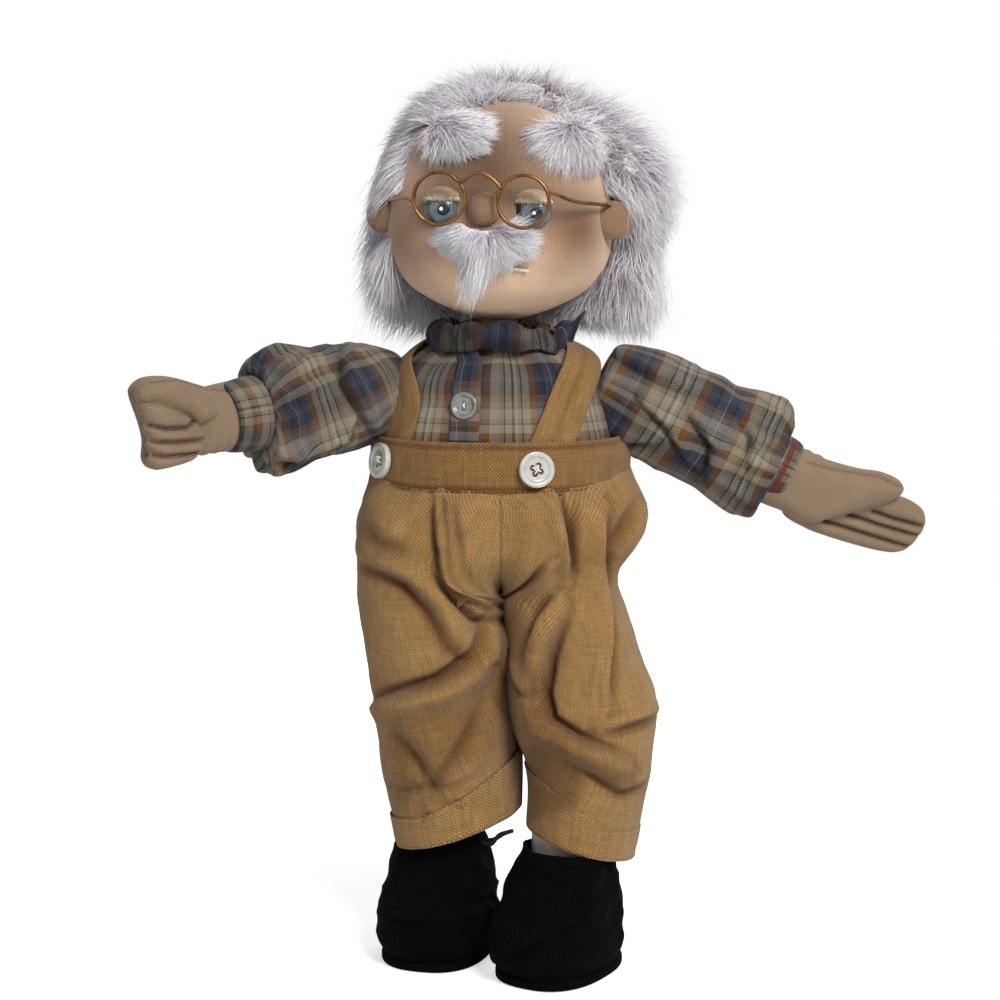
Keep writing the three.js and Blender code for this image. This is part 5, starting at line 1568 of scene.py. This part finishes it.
# The rubs on the brow and the cheeks are mostly painted shade, darkest under the brows and hair
for rub in (
    (0, 34, 66, 0.7, "8a847e"), (0, 17, 44, 0.95, "8a7f76"),
    (-20, 6, 24, 0.35, "8f8880"), (20, 6, 24, 0.35, "8f8880"),
    (-36, -8, 34, 0.75, "8c7460"), (37, -4, 38, 0.95, "75614f"),
):
    tone = powder_and_shade(tone, *rub)
paint(tree, shader, tone)

head, unit = unit_ball("head_bag", segments=128, rings=96)
spun = np.arctan2(unit[:, 0], -unit[:, 1])
level = np.where(unit[:, 2] < 0, chin_drop, crown_rise) * unit[:, 2]
half_width, half_depth = head_size(level)
at_pole = 1 - smooth_step(np.abs(unit[:, 2]), 0.985, 1.0)
spread_x, spread_y = half_width * np.sin(spun) * at_pole, -half_depth * np.cos(spun) * at_pole
head_places = on_head(columns(spread_x, spread_y, level))
head_places = head_places + 0.35 * mm * np.outer(wander(head_places, 26 * mm, 12), (0.5, -1, 0))
move_points(head, head_places)
map_radius = 46
map_cloth(head, columns(spun * map_radius, level) * mm)
dress(head, "head", head_knit, "knit", "head")


neck = stuffed_bag("neck_bag", "neck", bag_voxel)
dress(neck, "neck", hand_knit, "knit", "neck")
face_knit = knit_cloth("face_knit", 0.8 * mm, "644d38", "876c53", "997f66")[0]
thin_pad = 5
for name, node, middle, size, turn in (
    ("nose_ball", "nose", on_face(0, 3, 0)[0], (7.0, 6.8, 6.9), 0),
    ("ear_right_pad", "ear_right", (-47.8, -12, -1.4), (7.4, 3.8, 7.4), -10),
    ("ear_left_pad", "ear_left", (49, -12, -0.6), (8.2, 3.8, 8), 10),
):
    pad, unit = unit_ball(name, segments=48, rings=32)
    spread = np.hypot(unit[:, 0], unit[:, 2])
    rim = 1 - 0.18 * hump(spread, 0.86, 0.07) * (size[1] < thin_pad)
    c, s = math.cos(math.radians(turn)), math.sin(math.radians(turn))
    x, y, z = unit[:, 0] * size[0], unit[:, 1] * size[1] * rim, unit[:, 2] * size[2]
    local = columns(x * c - y * s, x * s + y * c, z) + np.asarray(middle)
    move_points(pad, on_head(local))
    map_cloth(pad, columns(x + 0.5 * z, z - 0.5 * x) * mm)
    dress(pad, "head", face_knit, "knit", node)


# Eyes: two domed plastic eyes with a grey-blue iris, glossy, with a spot of white in each pupil.
# A knit lid covers the top of each, and its edge is frayed into pale lashes.
eye_plastic, tree, shader = new_material("eye_plastic", Roughness=0.2, Coat_Weight=0.25, Coat_Roughness=0.08)
eye_map = cloth_place(tree)
from_middle = add(tree, "VectorMath", {0: eye_map}, operation="LENGTH")["Value"]
flecks = add(tree, "TexNoise", {"Vector": eye_map, "Scale": 1800, "Detail": 3})["Fac"]
iris = ramp(tree, flecks, (0.3, "434d53"), (0.7, "6c7b84"))
ring = ramp(
    tree, maths(tree, "DIVIDE", from_middle, 10 * mm),
    (0.0, (0, 0, 0, 1)), (0.245, (0, 0, 0, 1)), (0.26, (0.8, 0.8, 0.8, 1)), (0.5, (1, 1, 1, 1)),
    (0.62, (0.35, 0.37, 0.38, 1)), (0.7, (0.1, 0.1, 0.1, 1)),
)
eye_tone = blend_colours(tree, 1.0, iris, ring, "MULTIPLY")
from_glint = add(tree, "VectorMath", {0: eye_map, 1: (-0.8 * mm, 0.3 * mm, 0)}, operation="DISTANCE")["Value"]
glint = maths(tree, "LESS_THAN", from_glint, 0.75 * mm)
paint(tree, shader, blend_colours(tree, glint, eye_tone, (0.85, 0.85, 0.85, 1)))
lid_knit = knit_cloth("lid_knit", 0.8 * mm, "8a6f54", "b39679", "c7ab8e")[0]
eye_radius, eye_bulge, eye_level = 7.5, 5.2, 3
lid_edge, lid_stand, lash_stand = 4.2, 1.2, 1.1
eye_across = {"right": -18, "left": 19.2}
eye_seats = {side: on_face(across, eye_level, 0)[0] for side, across in eye_across.items()}
pupil_shift = {"right": (1.2, -0.6), "left": (1.8, -1.2)}
for side, seat in eye_seats.items():
    eye, unit = unit_ball(f"eye_{side}_dome", segments=48, rings=32)
    local = unit * (eye_radius, eye_bulge, eye_radius)
    move_points(eye, on_head(local + seat))
    map_cloth(eye, (local[:, [0, 2]] - np.array(pupil_shift[side])) * mm)
    dress(eye, "head", eye_plastic, "eye_plastic", f"eye_{side}")

    lid, across, rise = cloth_panel(f"lid_{side}", across=48, along=24)
    spread = math.pi * (across - 0.5)
    low = math.asin(lid_edge / (eye_radius + lid_stand))
    climb = low + (math.pi / 2 - low) * rise
    pucker = 0.25 * np.cos(14 * spread) * (1 - rise) + 0.5 * hump(rise, 0.2, 0.09)
    wide, deep = eye_radius + lid_stand + pucker, eye_bulge + lid_stand + pucker
    local = columns(
        wide * np.cos(climb) * np.sin(spread), -deep * np.cos(climb) * np.cos(spread), wide * np.sin(climb),
    )
    move_points(lid, on_head(local + seat))
    map_cloth(lid, columns(spread * 7 * mm, climb * 8 * mm))
    sew(lid, thickness=0.8 * mm)
    dress(lid, "head", lid_knit, "knit", f"eyelid_{side}")


def strands(name, roots, ways, lengths, width, bends, shade):
    """Tapered hairs as one mesh. Each has a root, a direction, a length and a bend, and a shade on its map."""
    count, rings = len(roots), 3
    ways = one_long(ways)
    aside = one_long(np.cross(ways, (0.31, 0.77, 0.55)))
    across = np.cross(ways, aside)
    rows = []
    for ring in range(rings):
        t = ring / rings
        centre = roots + lengths[:, None] * (ways * t + bends * t * t)
        for corner in range(3):
            angle = 2 * math.pi * corner / 3
            out_by = width * (1 - 0.75 * t) * (math.cos(angle) * aside + math.sin(angle) * across)
            rows.append(centre + out_by)
    rows.append(roots + lengths[:, None] * (ways + bends))
    vertices = np.stack(rows, axis=1).reshape(-1, 3)
    tip = 3 * rings
    faces = [[2, 1, 0]]
    for ring in range(rings - 1):
        for corner in range(3):
            a, b = 3 * ring + corner, 3 * ring + (corner + 1) % 3
            faces.append([a, b, b + 3])
            faces.append([a, b + 3, a + 3])
    faces += [[3 * (rings - 1) + c, 3 * (rings - 1) + (c + 1) % 3, tip] for c in range(3)]
    shifted = (np.array(faces)[None] + (np.arange(count) * (tip + 1))[:, None, None]).reshape(-1, 3)
    mesh = bpy.data.meshes.new(name)
    mesh.vertices.add(len(vertices))
    mesh.vertices.foreach_set("co", vertices.astype(np.float32).ravel())
    mesh.loops.add(shifted.size)
    mesh.loops.foreach_set("vertex_index", shifted.astype(np.int32).ravel())
    mesh.polygons.add(len(shifted))
    mesh.polygons.foreach_set("loop_start", np.arange(0, shifted.size, 3, dtype=np.int32))
    mesh.update()
    mesh.validate()
    made = bpy.data.objects.new(name, mesh)
    scene.collection.objects.link(made)
    up = np.tile(np.array([r // 3 / rings for r in range(tip)] + [1.0]), count)
    map_cloth(made, columns(np.repeat(shade, tip + 1), up))
    return made


fringe_cotton, tree, shader = new_material("lash_fringe", Roughness=0.85, Sheen_Weight=0.2)
fray = add(tree, "SeparateXYZ", {0: cloth_place(tree)})["X"]
paint(tree, shader, ramp(tree, fray, (0, "a0937a"), (1, "ded3ba")))
chance = np.random.default_rng(5)
count, lash_width = 420, 0.22 * mm
for side, seat in eye_seats.items():
    spread = np.radians(chance.uniform(-82, 82, count))
    wide, deep, level = eye_radius + lash_stand, eye_bulge + lash_stand, lid_edge + 0.5
    low = math.asin(level / wide)
    roots = columns(
        wide * math.cos(low) * np.sin(spread), -deep * math.cos(low) * np.cos(spread), np.full(count, level),
    )
    ways = columns(0.45 * np.sin(spread), -0.35 * np.cos(spread), np.full(count, -1.0))
    ways += chance.normal(0, 0.1, (count, 3))
    places = on_head(roots + seat)
    lash_ways = on_head(roots + seat + ways) - places
    lengths = chance.uniform(1.5, 2.5, count) * mm
    bends = chance.normal(0, 0.12, (count, 3))
    shade = chance.uniform(0, 1, count)
    fringe = strands(f"lashes_{side}_fringe", places, lash_ways, lengths, lash_width, bends, shade)
    dress(fringe, "head", fringe_cotton, "white_thread", f"lashes_{side}")


# Mouth: one long stitch of white thread under the moustache.
# It is drawn through the knit at both ends, and droops at the doll's left.
mouth_from, mouth_to, mouth_level = -12.6, 17.6, -19.4
mouth_droop = 1.7 * np.linspace(-0.5, 1, 9) ** 2
mouth_line = on_head(on_face(np.linspace(mouth_from, mouth_to, 9), mouth_level - mouth_droop, 0.9))
mouth = thread("mouth_stitch", [Vector(p) for p in mouth_line], radius=0.72 * mm)
dress(mouth, "head", white_thread, "white_thread", "mouth_thread")


# Spectacles: bent from one copper-coloured wire, from ear to ear, once round each eye.
# It arches over the nose between the rims, and its ends are tacked to the head at the ears.
copper, tree, shader = new_material("copper_wire", Metallic=1.0, Roughness=0.3)
paint(tree, shader, ramp(tree, stain(tree, 6 * mm), (0.3, "54381f"), (0.7, "8a6039")))
wire_wear = ramp(tree, stain(tree, 2 * mm), (0.3, (0.22, 0.22, 0.22, 1)), (0.7, (0.42, 0.42, 0.42, 1)))
tree.links.new(wire_wear, shader.inputs["Roughness"])
bump(tree, shader, stain(tree, 1.2 * mm), depth=0.08 * mm)
wire_radius = 0.75 * mm
rim_radius, glasses_front, rim_pitch = 10.4, -53, 2.3
rim_middles = {-1: (-17.2, 7.0), 1: (16.8, 6.6)}


def rim_loop(way, start, turns):
    """One wire rim as points in the head's frame, stepping forward by its own thickness."""
    route = []
    for t in np.linspace(0, 1, int(24 * turns)):
        angle = start - 2 * math.pi * turns * t
        forward = rim_pitch * (t if way < 0 else 1 - t)
        route.append((
            rim_middles[way][0] + rim_radius * math.cos(angle),
            glasses_front - forward,
            rim_middles[way][1] + rim_radius * math.sin(angle),
        ))
    return route


wire_route = [(-50.1, -5.6, 4.5), (-42.5, -27.9, 5.4), (-32, -47, 6.6)]
wire_route += rim_loop(-1, math.pi, 1.375)
nose_arch = ((-7.2, 14.2), (-4.4, 16.6), (-0.8, 17.5), (3, 16.1), (6.6, 13.2))
wire_route += [(x, glasses_front - rim_pitch, level) for x, level in nose_arch]
wire_route += rim_loop(1, 5 * math.pi / 6, 1.333)
wire_route += [(30.5, -50, 9.4), (36.5, -41, 7), (44, -26, 6), (50.1, -5.6, 4.5)]
spectacles = thread("spectacle_wire", [Vector(p) for p in on_head(wire_route)], wire_radius, sides=5)
dress(spectacles, "head", copper, "copper_wire", "spectacles")


# Hair: long-pile white fur. A wig is glued round the top, sides and back of the head.
# Tufts of the same fur make the brows and the moustache. The pile is grey at its roots.
fur, tree, shader = new_material("white_fur", Roughness=0.55, Sheen_Weight=0.3)
fur_map = add(tree, "SeparateXYZ", {0: cloth_place(tree)})
pile = ramp(tree, fur_map["Y"], (0.0, "d2ccd2"), (0.4, "f4f2f8"), (1.0, "ffffff"))
lock_tone = ramp(tree, fur_map["X"], (0.0, "bab3b7"), (1.0, "ffffff"))
paint(tree, shader, blend_colours(tree, 0.7, pile, lock_tone, "MULTIPLY"))
fur_skin, tree, shader = new_material("fur_backing", Roughness=0.9, Sheen_Weight=0.3)
paint(tree, shader, ramp(tree, stain(tree, 5 * mm), (0.3, "c4bec4"), (0.7, "e4dfe6")))
bump(tree, shader, stain(tree, 1.5 * mm), depth=0.8 * mm)


def fur_base(name, node, shrink, window=None):
    """The backing under a tuft of fur: the solid's form, rounded, drawn in and set back from a window."""
    base = stuffed_bag(name, node, 1.8 * mm)
    apply_modifier(base, "SMOOTH", factor=0.5, iterations=14)
    places = points_of(base)
    lumps = wander(places, 14 * mm, 70) * 1.2 * mm
    places = places - normals_of(base) * (shrink - lumps)[:, None]
    if window is not None:
        local = in_head(places)
        bare = smooth_step(depth_on_photo(places, window), -32, -8) * (local[:, 1] < 16)
        low_down = 1 - smooth_step(local[:, 2], 8, 26)
        places[:, 0] -= (0.1 + 0.14 * low_down) * bare * (places[:, 0] - head_middle.x)
        places[:, 1] += (12 + 6 * low_down) * mm * bare
        places[:, 2] -= 9 * mm * bare * (1 - low_down)
    move_points(base, places)
    dress(base, "head", fur_skin, "fur", node)
    return base


def scatter(base, count, chance):
    """Seeded roots over a piece, with its normals there. Its faces are taken in the order of their places."""
    places, normals = points_of(base), normals_of(base)
    rank = np.zeros(len(places), int)
    rank[np.lexsort(np.round(places / (0.001 * mm)).T)] = np.arange(len(places))
    corners = []
    for face in base.data.polygons:
        ring = list(face.vertices)
        first = min(range(len(ring)), key=lambda k: rank[ring[k]])
        ring = ring[first:] + ring[:first]
        corners += [(ring[0], b, c) for b, c in zip(ring[1:], ring[2:])]
    corners = np.array(corners)
    corners = corners[np.lexsort(rank[corners].T)]
    a, b, c = (places[corners[:, k]] for k in range(3))
    areas = np.linalg.norm(np.cross(b - a, c - a), axis=1)
    picked = chance.choice(len(corners), count, p=areas / areas.sum())
    u, v = chance.uniform(size=(2, count))
    u, v = np.where(u + v > 1, 1 - u, u), np.where(u + v > 1, 1 - v, v)
    weights = columns(1 - u - v, u, v)
    roots = np.einsum("ij,ijk->ik", weights, places[corners[picked]])
    facing = np.einsum("ij,ijk->ik", weights, normals[corners[picked]])
    return roots, one_long(facing)


def clumped(roots, ways, bends, lengths, size, share, chance):
    """Draws hairs towards the tips of their clumps, of about this size. Gives bends and clump numbers."""
    cell = np.floor(roots / size + wander(roots, 4 * size, 3)[:, None]).astype(int)
    member = np.unique(cell, axis=0, return_inverse=True)[1].ravel()
    clumps = member.max() + 1
    sums = np.zeros((clumps, 3))
    tips = roots + lengths[:, None] * (ways + bends)
    np.add.at(sums, member, tips)
    middle = sums / np.bincount(member, minlength=clumps)[:, None]
    sway = chance.normal(0, 0.18, (clumps, 3))
    pull = (middle[member] - tips) * share / lengths[:, None]
    return bends + pull + sway[member], member


back_of_hair = cad_high.y + 9 * mm
front_limit = 5
clump_size, shortest_hair = 6 * mm, 3 * mm
stray_share, stray_reach, stray_growth = 0.008, -20, 1.4
trim, trim_rounds = 0.78, 9


def tuft(name, roots, ways, bends, lengths, outline, chance, width, clump=0.2, window=None, lots=1):
    """Trims hairs to a ragged outline on the photograph, keeps them out of a window and makes them in lots."""
    bends, member = clumped(roots, ways, bends, lengths, clump_size, clump, chance)
    stray = chance.uniform(size=len(roots)) < (0 if window is None else stray_share)
    ragged = np.where(stray, stray_reach, chance.uniform(-11, 5, len(roots)))
    lengths = np.where(stray, stray_growth * lengths, lengths)
    front = in_head(roots)[:, 1] < front_limit
    for _ in range(trim_rounds):
        hairs = [roots + lengths[:, None] * (ways * t + bends * t * t) for t in (0.5, 1)]
        long = (depth_on_photo(hairs[1], outline) < ragged) | (hairs[1][:, 1] > back_of_hair)
        if window is not None:
            for hair in hairs:
                long |= front & (depth_on_photo(hair, window) > 0)
        lengths = np.where(long, trim * lengths, lengths)
    kept = lengths > shortest_hair
    if window is not None:
        kept &= ~(front & (depth_on_photo(roots, window) > 2))
    roots, ways, bends, lengths, member = (of_all[kept] for of_all in (roots, ways, bends, lengths, member))
    shade = 0.35 + 0.35 * chance.uniform(size=member.max() + 1)[member] + 0.3 * chance.uniform(size=len(roots))
    # Hairs on top of the wig get painted shade, darker towards the crown, against the light from above
    if window is not None:
        shade *= 1 - 0.6 * smooth_step(in_head(roots)[:, 2], 32, 50)
    order = np.argsort(roots[:, 0])
    for number, lot in enumerate(np.array_split(order, lots)):
        label = f"{name}_pile_{number + 1}" if lots > 1 else f"{name}_pile"
        hair = strands(label, roots[lot], ways[lot], lengths[lot], width, bends[lot], shade[lot])
        dress(hair, "head", fur, "fur")


down = np.array((0, 0, -1.0))
chance = np.random.default_rng(11)
hair_outline = [
    (362, 334), (357, 300), (357, 262), (365, 235), (371, 205), (378, 180), (387, 150), (398, 118), (415, 94),
    (440, 79), (470, 66), (500, 63), (530, 66), (560, 60), (585, 70), (606, 86), (632, 95), (656, 110),
    (673, 138), (683, 166), (684, 196), (676, 222), (664, 246), (655, 264), (661, 290), (665, 320),
    (656, 344), (620, 342), (590, 334), (560, 326), (440, 326), (425, 340), (395, 349), (375, 346),
]
skin_window = [
    (474, 112), (497, 102), (520, 99), (542, 103), (560, 118), (598, 150), (600, 173), (607, 198), (622, 200),
    (635, 208), (635, 232), (622, 240), (613, 244), (612, 263), (603, 283), (583, 303), (563, 317), (500, 324),
    (440, 321), (420, 313), (403, 290), (393, 267), (391, 238), (379, 233), (370, 224), (370, 208), (380, 199),
    (399, 197), (403, 183), (410, 160), (420, 126),
]
wig_hairs, rim_hairs, brow_hairs, lip_hairs = 42000, 46000, 5600, 7600
wig_base = fur_base("wig_backing", "wig", shrink=7 * mm, window=skin_window)
roots, facing = scatter(wig_base, wig_hairs, chance)
local = in_head(roots)
half_width, half_depth = head_size(np.clip(local[:, 2], -43, 47))
inside = (local[:, 0] / (half_width + 1)) ** 2 + (local[:, 1] / (half_depth + 1)) ** 2 < 1
inside &= local[:, 2] < 40
rim_roots, rim_facing = scatter(head, rim_hairs, chance)
off_window = depth_on_photo(rim_roots, skin_window)
by_window = (off_window < 1) & (off_window > -36) & (in_head(rim_roots)[:, 1] < 14)
roots = np.vstack((roots[~inside], rim_roots[by_window]))
facing = np.vstack((facing[~inside], rim_facing[by_window]))
local = in_head(roots)
count = len(roots)
on_top = smooth_step(local[:, 2], 22, 50)[:, None]
at_side = np.clip(local[:, 0] / 9 + chance.normal(0, 0.8, count), -1, 1)[:, None]
comb = (1 - on_top) * (down + (0, 0.1, 0) + at_side * (0.2, 0, 0))
comb += on_top * (at_side * (0.8, 0, 0) + (0, 0.3, 0.2))
forward = smooth_step(-facing[:, 1], 0.45, 0.85)[:, None]
radial = one_long(columns(local[:, 0], np.zeros(count), local[:, 2] - 4))
comb = comb * (1 - forward) + forward * (radial + (1 - on_top) * 0.7 * down)
comb -= facing * np.sum(comb * facing, axis=1)[:, None]
puff = smooth_step(local[:, 0], 40, 62) * between(local[:, 2], -12, 12, 40, 55)
flat_back = 1 - 0.6 * smooth_step(facing[:, 1], 0.2, 0.8)
stand_up = ((0.45 + 0.5 * puff) * flat_back)[:, None]
ways = one_long(facing * stand_up + 0.85 * comb + chance.normal(0, 0.26, (count, 3)))
lengths = chance.uniform(13, 27, count) * mm
bends = 0.3 * (1 - 1.2 * forward * on_top) * down + 0.1 * comb + chance.normal(0, 0.22, (count, 3))
tuft(
    "wig", roots, ways, bends, lengths, hair_outline, chance,
    width=0.19 * mm, clump=0.25, window=skin_window, lots=7,
)

brow_outlines = {
    "right": [
        (414, 118), (425, 106), (452, 101), (478, 108), (484, 116), (499, 119), (488, 127), (497, 133),
        (485, 140), (488, 148), (470, 152), (462, 160), (446, 160), (434, 166), (420, 163), (412, 145),
    ],
    "left": [
        (519, 132), (530, 116), (552, 109), (580, 110), (600, 114), (608, 140), (605, 160), (596, 172),
        (580, 179), (562, 184), (548, 174), (534, 168), (524, 156), (528, 146), (518, 140),
    ],
}
for side, sweep in (("right", (0.9, 0, -0.2)), ("left", (-0.3, 0, -0.45))):
    brow_base = fur_base(f"brow_{side}_backing", f"brow_{side}", shrink=3 * mm)
    roots, facing = scatter(brow_base, brow_hairs, chance)
    count = len(roots)
    local = in_head(roots)
    middle = local.mean(axis=0)
    away = columns(local[:, 0] - middle[0], np.zeros(count), local[:, 2] - middle[2] - 5) / 14
    ways = one_long(facing * 0.4 + away + sweep + chance.normal(0, 0.24, (count, 3)))
    lengths = chance.uniform(9, 21, count) * mm
    bends = 0.15 * down + chance.normal(0, 0.14, (count, 3))
    tuft(f"brow_{side}", roots, ways, bends, lengths, brow_outlines[side], chance, width=0.16 * mm)

moustache_outline = [
    (432, 238), (444, 226), (462, 222), (474, 226), (487, 227), (503, 222), (520, 211), (538, 203), (534, 216),
    (524, 228), (542, 238), (526, 246), (536, 254), (512, 256), (506, 268), (494, 264), (486, 276), (476, 300),
    (466, 318), (458, 308), (466, 284), (468, 268), (458, 258), (444, 250), (450, 244),
]
lip_base = fur_base("moustache_backing", "moustache", shrink=3.5 * mm)
roots, facing = scatter(lip_base, lip_hairs, chance)
count = len(roots)
local = in_head(roots)
parting = np.array((0.5, 0, -4))
away = columns(local[:, 0] - parting[0], np.zeros(count), local[:, 2] - parting[2]) / 11
ways = one_long(facing * 0.35 + 1.3 * away + (0.1, 0, -0.15) + chance.normal(0, 0.2, (count, 3)))
lengths = chance.uniform(8, 19, count) * mm
wisp = (np.abs(local[:, 0]) < 4.5) & (chance.uniform(size=count) < 0.12)
lengths = np.where(wisp, 27 * mm, lengths)
ways = np.where(wisp[:, None], 0.9 * down + (-0.25, -0.3, 0), ways)
lock = (local[:, 0] > 3) & (local[:, 2] > -9) & (chance.uniform(size=count) < 0.08)
lengths = np.where(lock, chance.uniform(11, 17, count) * mm, lengths)
ways = np.where(lock[:, None], np.array((0.8, -0.2, 0.56)) + chance.normal(0, 0.06, (count, 3)), ways)
bends = 0.1 * down + chance.normal(0, 0.14, (count, 3))
tuft("moustache", roots, ways, bends, lengths, moustache_outline, chance, width=0.155 * mm)
